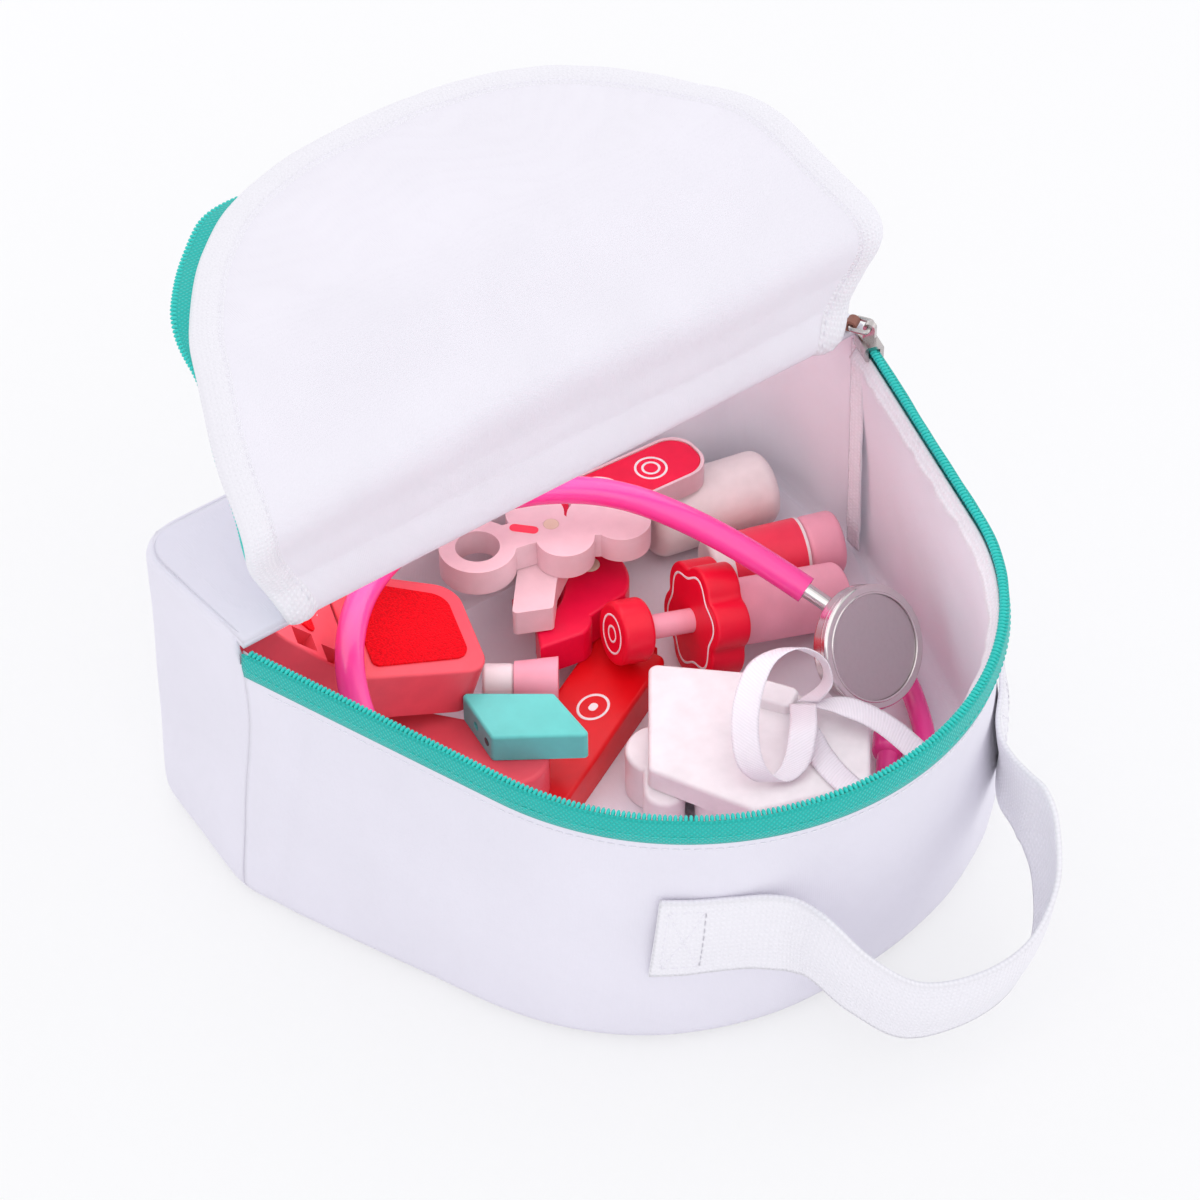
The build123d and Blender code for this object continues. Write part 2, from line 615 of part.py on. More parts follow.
front_tip = ear_tube(1, FRONT_EAR_ROUTE, "ear_tube_front")
finish(front_tip, "ear_tip_front")
rear_tip = ear_tube(-1, REAR_EAR_ROUTE, "ear_tube_rear")
finish(rear_tip, "ear_tip_rear")

# ---- the syringe --------------------------------------------------------------------------------
def along_syringe(distance):
    """Plane across the syringe's axis at a distance from the knob's outer face."""
    return Plane(KNOB_END + SYRINGE_WAY * distance, x_dir=Vector(0, 0, 1).cross(SYRINGE_WAY), z_dir=SYRINGE_WAY)


plate_start = KNOB_T + ROD_OUT
barrel_start = plate_start + FLANGE_T
with BuildPart() as syringe_barrel:
    with BuildSketch(along_syringe(barrel_start)):
        Circle(SYRINGE_D / 2)
    extrude(amount=BARREL_L)
    fillet(syringe_barrel.edges().filter_by(GeomType.CIRCLE), 1.5)
    with BuildSketch(along_syringe(barrel_start)):
        Circle(SYRINGE_BORE_D / 2)
    extrude(amount=BORE_DEPTH, mode=Mode.SUBTRACT)
finish(syringe_barrel, "syringe_barrel")

with BuildPart() as finger_plate:
    with BuildSketch(along_syringe(plate_start)) as plate_plan:
        Circle(FLANGE_R - FLANGE_LOBE_R * 0.6)
        with PolarLocations(FLANGE_R - FLANGE_LOBE_R, FLANGE_LOBES, start_angle=30):
            Circle(FLANGE_LOBE_R)
        fillet(plate_plan.vertices(), 3.0)
        Circle(ROD_D / 2 + PIN_GAP, mode=Mode.SUBTRACT)
    extrude(amount=FLANGE_T)
    for end_face in finger_plate.faces().filter_by(GeomType.PLANE):
        fillet(end_face.outer_wire().edges(), 1.0)
finish(finger_plate, "finger_plate")

with BuildPart() as plunger_rod:
    with BuildSketch(along_syringe(KNOB_T - PLUG_L)):
        Circle(PLUG_D / 2)
    extrude(amount=barrel_start + SEAL_START + 2 * PLUG_L - KNOB_T)
    with BuildSketch(along_syringe(KNOB_T)):
        Circle(ROD_D / 2)
    extrude(amount=barrel_start + SEAL_START - KNOB_T)
finish(plunger_rod, "plunger_rod")

with BuildPart() as plunger_knob:
    with BuildSketch(along_syringe(0)):
        Circle(KNOB_D / 2)
    extrude(amount=KNOB_T)
    fillet(plunger_knob.edges().filter_by(GeomType.CIRCLE), 1.6)
    with BuildSketch(along_syringe(KNOB_T)):
        Circle(PLUG_D / 2)
    extrude(amount=-PLUG_L, mode=Mode.SUBTRACT)
finish(plunger_knob, "plunger_knob")

with BuildPart() as plunger_seal:
    with BuildSketch(along_syringe(barrel_start + SEAL_START)):
        Circle(SYRINGE_BORE_D / 2 - PIN_GAP)
        Circle(PLUG_D / 2, mode=Mode.SUBTRACT)
    extrude(amount=SEAL_T)
finish(plunger_seal, "plunger_seal")

# ---- the pliers ---------------------------------------------------------------------------------
plier_levels = (FLOOR_REST, FLOOR_REST + PLIER_T + REST)
plier_top = plier_levels[1] + PLIER_T


def plier_handle(turn, length):
    """Handle of one arm, from the rivet."""
    with BuildSketch() as handle:
        with Locations(Location((*PLIER_PIVOT, 0), (0, 0, turn))):
            with Locations((length / 2, 0)):
                SlotCenterToCenter(length, PLIER_HANDLE_W)
    return handle.sketch


with BuildPart() as plier_upper:
    with BuildSketch(Plane.XY.offset(plier_levels[1])):
        with BuildLine():
            Line((-8, 5.5), (7, 2.5))
            TangentArc((7, 2.5), (14, 7.5), tangent=(1, 0.1))
            Line((14, 7.5), (29, 9))
            ThreePointArc((29, 9), (38, 24), (30, 40))
            Line((30, 40), (20, 40))
            ThreePointArc((20, 40), (14.5, 23), (-3, 15))
            Line((-3, 15), (-8, 5.5))
        make_face()
        add(plier_handle(75, 17))
        with Locations(PLIER_PIVOT):
            Circle(RIVET_D / 2 + PIN_GAP, mode=Mode.SUBTRACT)
    extrude(amount=PLIER_T)
    fillet(plier_upper.faces().sort_by(Axis.Z)[-1].outer_wire().edges(), 1.0)
finish(plier_upper, "plier_arm_upper")

with BuildPart() as plier_lower:
    with BuildSketch(Plane.XY.offset(plier_levels[0])):
        with BuildLine():
            Line((6, 40), (24, 43))
            ThreePointArc((24, 43), (38, 27), (30, 11))
            Line((30, 11), (20, 12))
            ThreePointArc((20, 12), (17, 26), (6, 40))
        make_face()
        add(plier_handle(60, 20))
        with Locations(PLIER_PIVOT):
            Circle(RIVET_D / 2 + PIN_GAP, mode=Mode.SUBTRACT)
    extrude(amount=PLIER_T)
finish(plier_lower, "plier_arm_lower")

with BuildPart() as rivet:
    with BuildSketch(Plane.XY.offset(plier_levels[0])):
        with Locations(PLIER_PIVOT):
            Circle(RIVET_D / 2)
    extrude(amount=plier_top - plier_levels[0] + RIVET_DOME / 2)
    fillet(rivet.edges().group_by(Axis.Z)[-1], RIVET_DOME)
finish(rivet, "plier_rivet")

# ---- the scalloped forceps ----------------------------------------------------------------------
forcep_levels = (plier_top + REST + RIVET_DOME / 2, plier_top + 2 * REST + RIVET_DOME / 2 + FORCEP_T)
forcep_top = forcep_levels[1] + FORCEP_T


def bar_between(start, end, width):
    """Straight bar of the given width with round ends."""
    middle = ((start[0] + end[0]) / 2, (start[1] + end[1]) / 2)
    run = hypot(end[0] - start[0], end[1] - start[1])
    turn = atan2(end[1] - start[1], end[0] - start[0]) * 180 / pi
    with BuildSketch() as bar:
        with Locations(Location((*middle, 0), (0, 0, turn))):
            SlotCenterToCenter(run, width)
    return bar.sketch


FORCEP_LOBES = [(16, 40), (17, 25), FORCEP_HEAD, (37, 34), (36, 20)]
with BuildPart() as forcep_upper:
    with BuildSketch(Plane.XY.offset(forcep_levels[1])):
        add(bar_between(FORCEP_RING, FORCEP_PIN, FORCEP_W))
        with Locations(*FORCEP_LOBES):
            Circle(FORCEP_LOBE_R)
        with Locations(FORCEP_RING):
            Circle(RING_R)
            Circle(RING_HOLE_R, mode=Mode.SUBTRACT)
        with Locations(FORCEP_PIN):
            Circle(PIN_D / 2 + PIN_GAP, mode=Mode.SUBTRACT)
    extrude(amount=FORCEP_T)
finish(forcep_upper, "forcep_arm_upper")

with BuildPart() as forcep_lower:
    with BuildSketch(Plane.XY.offset(forcep_levels[0])):
        with BuildLine():
            Polyline((-12, 15), (0, 9), (9, 19), (25, 30), (20, 40), (4, 33), close=True)
        make_face()
        with Locations(FORCEP_PIN):
            Circle(PIN_D / 2 + PIN_GAP, mode=Mode.SUBTRACT)
    extrude(amount=FORCEP_T)
    fillet(forcep_lower.edges().filter_by(Axis.Z).sort_by(Axis.X)[:3], 1.5)
finish(forcep_lower, "forcep_arm_lower")

with BuildPart() as forcep_pin:
    with BuildSketch(Plane.XY.offset(forcep_levels[0])):
        with Locations(FORCEP_PIN):
            Circle(PIN_D / 2)
    extrude(amount=forcep_top - forcep_levels[0])
finish(forcep_pin, "forcep_pin")

# ---- flat wooden pieces -------------------------------------------------------------------------
slab_top = FLOOR_REST + SLAB_T
plank_top = slab_top + REST + PLANK_T
with BuildPart() as paste_tube:
    with BuildSketch(lying(SLAB_CENTRE, FLOOR_REST, SLAB_TURN)):
        RectangleRounded(SLAB_L, SLAB_W, 3)
        with Locations((SLAB_L / 2, 0)):
            Rectangle(6, SLAB_W - 10)
    extrude(amount=SLAB_T)
    fillet(paste_tube.edges().group_by(Axis.Z)[-1], 1.5)
finish(paste_tube, "paste_tube")

with BuildPart() as spatula:
    with BuildSketch(lying(PLANK_CENTRE, slab_top + REST, PLANK_TURN)):
        SlotOverall(PLANK_L, PLANK_W)
        with Locations((-PLANK_L / 4, 0)):
            RectangleRounded(PLANK_L / 2, PLANK_W, 4)
    extrude(amount=PLANK_T)
    fillet(spatula.edges().group_by(Axis.Z)[-1], 1.5)
finish(spatula, "spatula")

with BuildPart() as handle_block:
    with BuildSketch(lying(BLOCK_CENTRE, plank_top + REST)) as block_plan:
        Polygon(*BLOCK_CORNERS, align=None)
        fillet(block_plan.vertices(), 1.5)
    extrude(amount=BLOCK_T)
    fillet(handle_block.edges().group_by(Axis.Z)[-1], 1.0)
    hole_end = (Vector(*BLOCK_CORNERS[0]) + Vector(*BLOCK_CORNERS[3])) * 0.5
    hole_start = Vector(*BLOCK_CENTRE) + hole_end + Vector(0, 0, plank_top + REST + BLOCK_T / 2)
    edge_way = (Vector(*BLOCK_CORNERS[3]) - Vector(*BLOCK_CORNERS[0])).normalized()
    with BuildSketch(Plane(hole_start, x_dir=edge_way, z_dir=Vector(0, 0, 1).cross(edge_way) * -1)):
        Circle(BLOCK_HOLE_D / 2)
    extrude(amount=BLOCK_HOLE_DEPTH, both=True, mode=Mode.SUBTRACT)
finish(handle_block, "handle_block")

dropper_way = direction(DROPPER_TURN)
dropper_base = Vector(*DROPPER_SPOT) + Vector(0, 0, slab_top + REST + DROPPER_D / 2)
dropper_neck = dropper_base + dropper_way * DROPPER_L
with BuildPart() as dropper:
    with BuildSketch(Plane(dropper_base, z_dir=dropper_way)):
        Circle(DROPPER_D / 2)
    with BuildSketch(Plane(dropper_neck, z_dir=dropper_way)):
        Circle(DROPPER_TIP_D / 2)
    loft()
finish(dropper, "dropper")
with BuildPart() as dropper_cap:
    with BuildSketch(Plane(dropper_neck, z_dir=dropper_way)):
        Circle(DROPPER_CAP_D / 2)
    extrude(amount=DROPPER_CAP_L)
    fillet(dropper_cap.edges().filter_by(GeomType.CIRCLE), 1.2)
finish(dropper_cap, "dropper_cap")

with BuildPart() as tooth:
    with BuildSketch(lying(TOOTH_SPOT, FLOOR_REST, TOOTH_TURN)):
        with Locations((-9, 1), (9, 1)):
            Circle(11)
        with Locations((0, 7)):
            Circle(11)
        with Locations((-8, -8), (8, -8)):
            SlotCenterToCenter(18, 13, rotation=90)
    extrude(amount=TOOTH_T)
    fillet(tooth.edges().group_by(Axis.Z)[-1], 1.5)
finish(tooth, "tooth")

board_bottom = FLOOR_REST + TOOTH_T + REST
board_top = board_bottom + BOARD_T
with BuildPart() as badge_board:
    with BuildSketch(Plane.XY.offset(board_bottom)) as board_plan:
        Polygon(*BOARD_CORNERS, align=None)
        fillet(board_plan.vertices(), 3.0)
    extrude(amount=BOARD_T)
    fillet(badge_board.edges().group_by(Axis.Z)[-1], 1.5)
finish(badge_board, "badge_board")

with BuildPart() as badge_clip:
    with BuildSketch(lying(CLIP_SPOT, board_top, CLIP_TURN)):
        RectangleRounded(CLIP_L, CLIP_W, 2.5)
    extrude(amount=CLIP_T)
    fillet(badge_clip.edges().group_by(Axis.Z)[-1], 1.0)
finish(badge_clip, "badge_clip")

with BuildPart() as ribbon:
    loop_across = direction(LOOP_TURN)
    loop_foot = Vector(*LOOP_SPOT) + Vector(0, 0, board_top + REST)
    loop_middle = loop_foot + Vector(0, 0, RIBBON_LOOP[1] + RIBBON_T * 0.4)
    with BuildSketch(Plane(loop_middle, x_dir=loop_across, z_dir=loop_across.cross(Vector(0, 0, 1)))):
        Ellipse(*RIBBON_LOOP)
        Ellipse(RIBBON_LOOP[0] - RIBBON_T, RIBBON_LOOP[1] - RIBBON_T, mode=Mode.SUBTRACT)
    extrude(amount=RIBBON_W / 2, both=True)
    with BuildSketch(Plane.XY.offset(board_top + REST)):
        with BuildLine() as tail_line:
            ThreePointArc(LOOP_SPOT, *TAIL_ROUTE)
        trace(tail_line.line, line_width=RIBBON_W)
    extrude(amount=RIBBON_T)
finish(ribbon, "ribbon")

# ---- bottles and thermometer --------------------------------------------------------------------
def barrel_plane(spot, turn, diameter, distance):
    """Plane across a bottle that lies on the floor, at a distance from its base."""
    way = direction(turn)
    start = Vector(*spot) + Vector(0, 0, FLOOR_REST + diameter / 2)
    return Plane(start + way * distance, x_dir=Vector(0, 0, 1).cross(way), z_dir=way)


with BuildPart() as ointment:
    with BuildSketch(barrel_plane(OINTMENT_SPOT, OINTMENT_TURN, OINTMENT_D, 0)):
        Circle(OINTMENT_D / 2)
    extrude(amount=OINTMENT_L)
    fillet(ointment.edges().filter_by(GeomType.CIRCLE), OINTMENT_EDGE_R)
finish(ointment, "ointment_jar")

label_start = BOTTLE_L - LABEL_L - 1
with BuildPart() as bottle:
    with BuildSketch(barrel_plane(BOTTLE_SPOT, BOTTLE_TURN, BOTTLE_D, 0)):
        Circle(BOTTLE_D / 2)
    extrude(amount=BOTTLE_L)
    fillet(bottle.edges().filter_by(GeomType.CIRCLE).sort_by(Axis.X)[0], 2.0)
    with BuildSketch(barrel_plane(BOTTLE_SPOT, BOTTLE_TURN, BOTTLE_D, label_start)):
        Circle(BOTTLE_D / 2)
        Circle(BOTTLE_D / 2 - LABEL_T, mode=Mode.SUBTRACT)
    extrude(amount=LABEL_L, mode=Mode.SUBTRACT)
finish(bottle, "bottle")

with BuildPart() as bottle_label:
    with BuildSketch(barrel_plane(BOTTLE_SPOT, BOTTLE_TURN, BOTTLE_D, label_start)):
        Circle(BOTTLE_D / 2)
        Circle(BOTTLE_D / 2 - LABEL_T, mode=Mode.SUBTRACT)
    extrude(amount=LABEL_L)
finish(bottle_label, "bottle_label")

with BuildPart() as bottle_cap:
    with BuildSketch(barrel_plane(BOTTLE_SPOT, BOTTLE_TURN, BOTTLE_D, BOTTLE_L)):
        Circle(BOTTLE_CAP_D / 2)
    extrude(amount=BOTTLE_CAP_L)
    fillet(bottle_cap.edges().filter_by(GeomType.CIRCLE), 2.5)
finish(bottle_cap, "bottle_cap")

thermo_bottom = FLOOR_REST + OINTMENT_D + REST
thermo_top = thermo_bottom + THERMO_T
with BuildPart() as thermometer:
    with BuildSketch(lying(THERMO_SPOT, thermo_bottom, THERMO_TURN)):
        RectangleRounded(THERMO_L, THERMO_W, THERMO_W * 0.42)
    extrude(amount=THERMO_T)
    with BuildSketch(lying(THERMO_SPOT, thermo_top, THERMO_TURN)):
        RectangleRounded(THERMO_L - 2, THERMO_W - 2, THERMO_W * 0.4)
    extrude(amount=-THERMO_FACE_T, mode=Mode.SUBTRACT)
finish(thermometer, "thermometer")
with BuildPart() as thermometer_face:
    with BuildSketch(lying(THERMO_SPOT, thermo_top - THERMO_FACE_T, THERMO_TURN)):
        RectangleRounded(THERMO_L - 2, THERMO_W - 2, THERMO_W * 0.4)
    extrude(amount=THERMO_FACE_T)
    fillet(thermometer_face.edges().group_by(Axis.Z)[-1], 0.8)
finish(thermometer_face, "thermometer_face")

# ---- the two jaws -------------------------------------------------------------------------------
hinge_way = direction(JAW_HINGE_TURN)


def jaw_outline(depth, inset):
    """Arch of a jaw: its hinge edge on the x axis, narrower at the far end."""
    low, high = inset, depth - inset
    with BuildSketch() as arch:
        Polygon((-JAW_W / 2 + inset, low), (JAW_W / 2 - inset, low), (JAW_FAR_W / 2 - inset, high),
                (-JAW_FAR_W / 2 + inset, high), align=None)
        fillet(arch.vertices().group_by(Axis.Y)[-1], max(JAW_CORNER_R - inset / 2, 2))
        fillet(arch.vertices().group_by(Axis.Y)[0], 2)
    return arch.sketch


def make_jaw(plane, depth, thickness, felt_inset, sockets, name):
    """A jaw with felt let into its top, and square sockets for teeth."""
    with BuildPart() as jaw:
        with BuildSketch(plane):
            add(jaw_outline(depth, 0.0))
        extrude(amount=-thickness)
        fillet(jaw.edges().filter_by(GeomType.CIRCLE).sort_by(Axis.Z)[-2:], 0.9)
        with BuildSketch(plane):
            add(jaw_outline(depth, felt_inset))
        extrude(amount=-FELT_SUNK, mode=Mode.SUBTRACT)
        with BuildSketch(plane):
            with Locations(*sockets):
                Rectangle(SOCKET, SOCKET)
        extrude(amount=-SOCKET_DEPTH, mode=Mode.SUBTRACT)
    finish(jaw, f"{name}_jaw")
    with BuildPart() as felt:
        with BuildSketch(plane.offset(-FELT_SUNK)):
            add(jaw_outline(depth, felt_inset))
        extrude(amount=FELT_T)
    finish(felt, f"{name}_felt")


right_plane = Plane(JAW_HINGE + direction(JAW_HINGE_TURN + 90) * SEAM, x_dir=hinge_way,
                    z_dir=direction(JAW_HINGE_TURN + 90, 90 - RIGHT_JAW_TILT))
left_plane = Plane(JAW_HINGE - direction(JAW_HINGE_TURN + 90) * SEAM, x_dir=hinge_way * -1,
                   z_dir=direction(JAW_HINGE_TURN + 90, 90 - LEFT_JAW_TILT))
make_jaw(right_plane, RIGHT_JAW_DEPTH, RIGHT_JAW_T, JAW_RIM, [(0, -JAW_W)], "right")
SOCKET_SPOTS = [(-19.5, 8), (19.5, 8), (-16.5, 19), (16.5, 19), (-6, 27), (6, 27)]
make_jaw(left_plane, LEFT_JAW_DEPTH, LEFT_JAW_T, GUM_BAND, SOCKET_SPOTS, "left")
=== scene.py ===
"""Dressed scene of a soft zipped play case with its wooden doctor's toys.

The scene is in metres in the model's own frame: +X along the lid's fold, -Y towards the rounded
front, +Z up, with the origin on the floor under the middle of the fold. The classes give their sizes
in millimetres, and the materials theirs in metres.
"""

import json
import logging
import math
from dataclasses import dataclass, field
from enum import Enum
from functools import cached_property
from typing import Callable, Optional, Sequence

import bmesh
import bpy
from mathutils import Matrix, Vector, noise

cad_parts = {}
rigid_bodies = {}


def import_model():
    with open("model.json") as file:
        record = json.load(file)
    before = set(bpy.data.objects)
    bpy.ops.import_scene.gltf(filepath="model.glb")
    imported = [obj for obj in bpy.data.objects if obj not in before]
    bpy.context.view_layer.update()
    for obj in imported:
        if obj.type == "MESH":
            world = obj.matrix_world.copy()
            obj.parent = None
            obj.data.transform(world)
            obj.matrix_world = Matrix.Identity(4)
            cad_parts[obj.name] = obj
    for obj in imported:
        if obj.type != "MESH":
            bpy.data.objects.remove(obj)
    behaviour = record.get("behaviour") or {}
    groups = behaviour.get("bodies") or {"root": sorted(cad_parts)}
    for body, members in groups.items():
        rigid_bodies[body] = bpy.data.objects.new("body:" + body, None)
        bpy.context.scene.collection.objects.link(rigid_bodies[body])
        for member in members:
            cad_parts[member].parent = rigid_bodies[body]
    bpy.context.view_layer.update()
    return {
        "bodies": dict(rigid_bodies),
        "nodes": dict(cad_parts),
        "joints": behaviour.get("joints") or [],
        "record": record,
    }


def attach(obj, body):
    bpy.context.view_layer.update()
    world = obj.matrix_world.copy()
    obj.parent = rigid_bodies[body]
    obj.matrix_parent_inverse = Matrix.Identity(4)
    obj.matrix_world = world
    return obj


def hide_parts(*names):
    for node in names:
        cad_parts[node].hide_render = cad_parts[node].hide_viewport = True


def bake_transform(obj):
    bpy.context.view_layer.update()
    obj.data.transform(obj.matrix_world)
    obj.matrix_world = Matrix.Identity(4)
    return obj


logging.basicConfig(level=logging.INFO, format="%(message)s")
LOG = logging.getLogger("play_case")
MM = 0.001
PRINT_LIFT = 0.05
Point = tuple[float, float]
Spot = tuple[float, float, float]
Colour = tuple[float, float, float, float]
Table = tuple[Point, ...]
Place = Callable[[float, float], Vector]
Socket = bpy.types.NodeSocket


# ---- small tools --------------------------------------------------------------------------------
def colour(red: int, green: int, blue: int) -> Colour:
    """Linear colour from the usual 0 to 255 values.

    Args:
        red: Red share.
        green: Green share.
        blue: Blue share.

    Returns:
        The colour with an alpha of one.
    """
    def linear(value: int) -> float:
        """One channel as a linear share."""
        share = value / 255
        return share / 12.92 if share <= 0.04045 else ((share + 0.055) / 1.055) ** 2.4
    return (linear(red), linear(green), linear(blue), 1.0)


def mm(*values: float) -> Vector:
    """Point given in millimetres, as a vector in metres."""
    return Vector(values) * MM


def interpolate(table: Sequence[Point], at: float) -> float:
    """Smooth value of a table of (place, value) pairs.

    Args:
        table: Pairs in rising order of place.
        at: Place where the value is wanted.

    Returns:
        The value, eased along a Catmull-Rom curve.
    """
    if at <= table[0][0]:
        return table[0][1]
    if at >= table[-1][0]:
        return table[-1][1]
    index = max(i for i, pair in enumerate(table) if pair[0] <= at)
    low, high = table[index], table[index + 1]
    before = table[max(index - 1, 0)]
    after = table[min(index + 2, len(table) - 1)]
    span = high[0] - low[0]
    share = (at - low[0]) / span
    rise_in = (high[1] - before[1]) / (high[0] - before[0]) * span
    rise_out = (after[1] - low[1]) / (after[0] - low[0]) * span
    square, cube = share * share, share ** 3
    return ((2 * cube - 3 * square + 1) * low[1] + (cube - 2 * square + share) * rise_in
            + (3 * square - 2 * cube) * high[1] + (cube - square) * rise_out)


def smooth_step(low: float, high: float, at: float) -> float:
    """Zero before low, one after high and an even blend between them."""
    share = min(max((at - low) / (high - low), 0.0), 1.0)
    return share * share * (3 - 2 * share)


def bell(middle: float, width: float, at: float) -> float:
    """One in the middle, dying away over the width on both sides."""
    return math.exp(-((at - middle) / width) ** 2)


@dataclass(frozen=True)
class Waves:
    """Soft random unevenness: its height, the length of its waves and which waves. Millimetres."""
    height: float
    length: float
    seed: float = 0.0

    def at(self, x: float, y: float, z: float = 0.0) -> float:
        """Height at a point, above or below zero."""
        start = Vector((self.seed, 2.7 * self.seed, -1.3 * self.seed))
        return self.height * noise.noise(Vector((x, y, z)) / self.length + start)


def in_scene(name: str, data: bpy.types.ID) -> bpy.types.Object:
    """Makes an object of some data and puts it into the scene."""
    made = bpy.data.objects.new(name, data)
    bpy.context.scene.collection.objects.link(made)
    return made


def add_piece(bm: bmesh.types.BMesh, name: str, material: bpy.types.Material, slot: str,
              smooth: bool = True) -> bpy.types.Object:
    """Turns a bmesh into an object of the scene.

    Args:
        bm: The mesh, which is freed.
        name: Name of the piece.
        material: Its material.
        slot: The record's material slot it belongs to; not used.
        smooth: Whether its faces are shaded smooth.

    Returns:
        The new object, at the origin.
    """
    mesh = bpy.data.meshes.new(name)
    for face in bm.faces:
        face.smooth = smooth
    bm.to_mesh(mesh)
    bm.free()
    piece = in_scene(name, mesh)
    mesh.materials.append(material)
    LOG.info("%s: %d faces", name, len(mesh.polygons))
    return piece


def add_thickness(piece: bpy.types.Object, thickness: float, offset: float = -1.0,
                  closed: bool = True) -> None:
    """Gives a sheet its thickness.

    Args:
        piece: The sheet.
        thickness: The thickness in millimetres.
        offset: Minus one to grow inwards, zero to grow both ways.
        closed: Whether the sheet's edges get a face of their own.
    """
    solid = piece.modifiers.new("thickness", "SOLIDIFY")
    solid.thickness = thickness * MM
    solid.offset = offset
    solid.use_rim = closed


def add_lining(piece: bpy.types.Object, thickness: float, inner: bpy.types.Material,
               closed: bool = True) -> None:
    """Gives a cloth its thickness and another material on its inner side."""
    piece.data.materials.append(inner)
    add_thickness(piece, thickness, closed=closed)
    piece.modifiers["thickness"].material_offset = 1


# ---- finishes -----------------------------------------------------------------------------------
class Coordinates(Enum):
    """Where a pattern takes its place from."""
    OBJECT = "Object"
    UV = "UV"


class Shader:
    """A material under construction: one Principled shader and what feeds it."""

    def __init__(self, name: str) -> None:
        """Starts an empty material of that name.

        Args:
            name: Name of the material.
        """
        self.material = bpy.data.materials.new(name)
        self.material.use_nodes = True
        self.tree = self.material.node_tree
        self.main = self.tree.nodes["Principled BSDF"]

    def node(self, kind: str, **values: object) -> bpy.types.Node:
        """Adds a node.

        Args:
            kind: The node's type.
            **values: Its properties, or its inputs with spaces written as underscores.

        Returns:
            The node.
        """
        made = self.tree.nodes.new(kind)
        for key, value in values.items():
            if hasattr(made, key):
                setattr(made, key, value)
            else:
                made.inputs[key.replace("_", " ")].default_value = value
        return made

    def link(self, source: Socket, target: Socket) -> None:
        """Joins two sockets."""
        self.tree.links.new(source, target)

    def place(self, coordinates: Coordinates = Coordinates.OBJECT, scale: Spot = (1, 1, 1),
              turn: float = 0.0) -> Socket:
        """Coordinates for a pattern.

        Args:
            coordinates: Which coordinates.
            scale: Stretch along each axis.
            turn: Turn about Z in degrees.

        Returns:
            The socket that holds them.
        """
        source = self.node("ShaderNodeTexCoord")
        mapping = self.node("ShaderNodeMapping", Scale=scale, Rotation=(0, 0, math.radians(turn)))
        self.link(source.outputs[coordinates.value], mapping.inputs["Vector"])
        return mapping.outputs["Vector"]

    def ribs(self, place: Socket, spacing: float, direction: str = "X", distortion: float = 0.0) -> Socket:
        """Parallel ribs as heights from 0 to 1.

        Args:
            place: The pattern's coordinates.
            spacing: Distance from rib to rib in metres.
            direction: The axis that they follow one another along.
            distortion: How wavy they are.

        Returns:
            The socket that holds the heights.
        """
        bands_per_metre = 0.314 / spacing
        wave = self.node("ShaderNodeTexWave", wave_type="BANDS", bands_direction=direction,
                         Scale=bands_per_metre, Distortion=distortion, Detail=1.0)
        self.link(place, wave.inputs["Vector"])
        return wave.outputs["Fac"]

    def mottle(self, place: Socket, scale: float, detail: float = 3.0) -> Socket:
        """Soft random heights from 0 to 1."""
        grain = self.node("ShaderNodeTexNoise", Scale=scale, Detail=detail, Roughness=0.55)
        self.link(place, grain.inputs["Vector"])
        return grain.outputs["Fac"]

    def weave(self, first: Socket, second: Socket) -> Socket:
        """Heights that are high only where two others are.

        Args:
            first: Heights from 0 to 1.
            second: The heights across them.

        Returns:
            The socket that holds the result.
        """
        joined = self.node("ShaderNodeMath", operation="MULTIPLY")
        self.link(first, joined.inputs[0])
        self.link(second, joined.inputs[1])
        return joined.outputs[0]

    def relief(self, height: Socket, strength: float, depth: float, below: Optional[Socket] = None) -> Socket:
        """Relief from a height.

        Args:
            height: Heights from 0 to 1.
            strength: Share of the relief that shows.
            depth: Depth in metres.
            below: A relief that this one lies on.

        Returns:
            The resulting normal.
        """
        bump = self.node("ShaderNodeBump", Strength=strength, Distance=depth)
        self.link(height, bump.inputs["Height"])
        if below is not None:
            self.link(below, bump.inputs["Normal"])
        return bump.outputs["Normal"]

    def emboss(self, height: Socket, strength: float, depth: float, below: Optional[Socket] = None) -> None:
        """Gives the surface a relief, as relief() makes it."""
        self.link(self.relief(height, strength, depth, below), self.main.inputs["Normal"])

    def tint(self, height: Socket, base: Colour, dark: float, light: float, low: float = 0.3,
             high: float = 0.7) -> None:
        """Gives the surface a colour that varies with a height.

        Args:
            height: Heights from 0 to 1.
            base: The colour.
            dark: Factor of the colour where the height is small.
            light: Factor of the colour where the height is great.
            low: Height below which the colour is dark.
            high: Height above which it is light.
        """
        ramp = self.node("ShaderNodeValToRGB")
        for stop, place, factor in zip(ramp.color_ramp.elements, (low, high), (dark, light)):
            stop.position = place
            stop.color = (*(min(part * factor, 1) for part in base[:3]), 1)
        self.link(height, ramp.inputs["Fac"])
        self.link(ramp.outputs["Color"], self.main.inputs["Base Color"])

    def set(self, **values: object) -> None:
        """Sets the shader's own sockets, with spaces written as underscores."""
        for key, value in values.items():
            self.main.inputs[key.replace("_", " ")].default_value = value


@dataclass(frozen=True)
class Finish:
    """A finish: the name of its material and its colour."""
    name: str
    base: Colour

    def material(self) -> bpy.types.Material:
        """Builds the material."""
        shader = Shader(self.name)
        self.paint(shader)
        return shader.material

    def paint(self, shader: Shader) -> None:
        """Feeds the shader.

        Args:
            shader: The shader under construction.
        """
        raise NotImplementedError


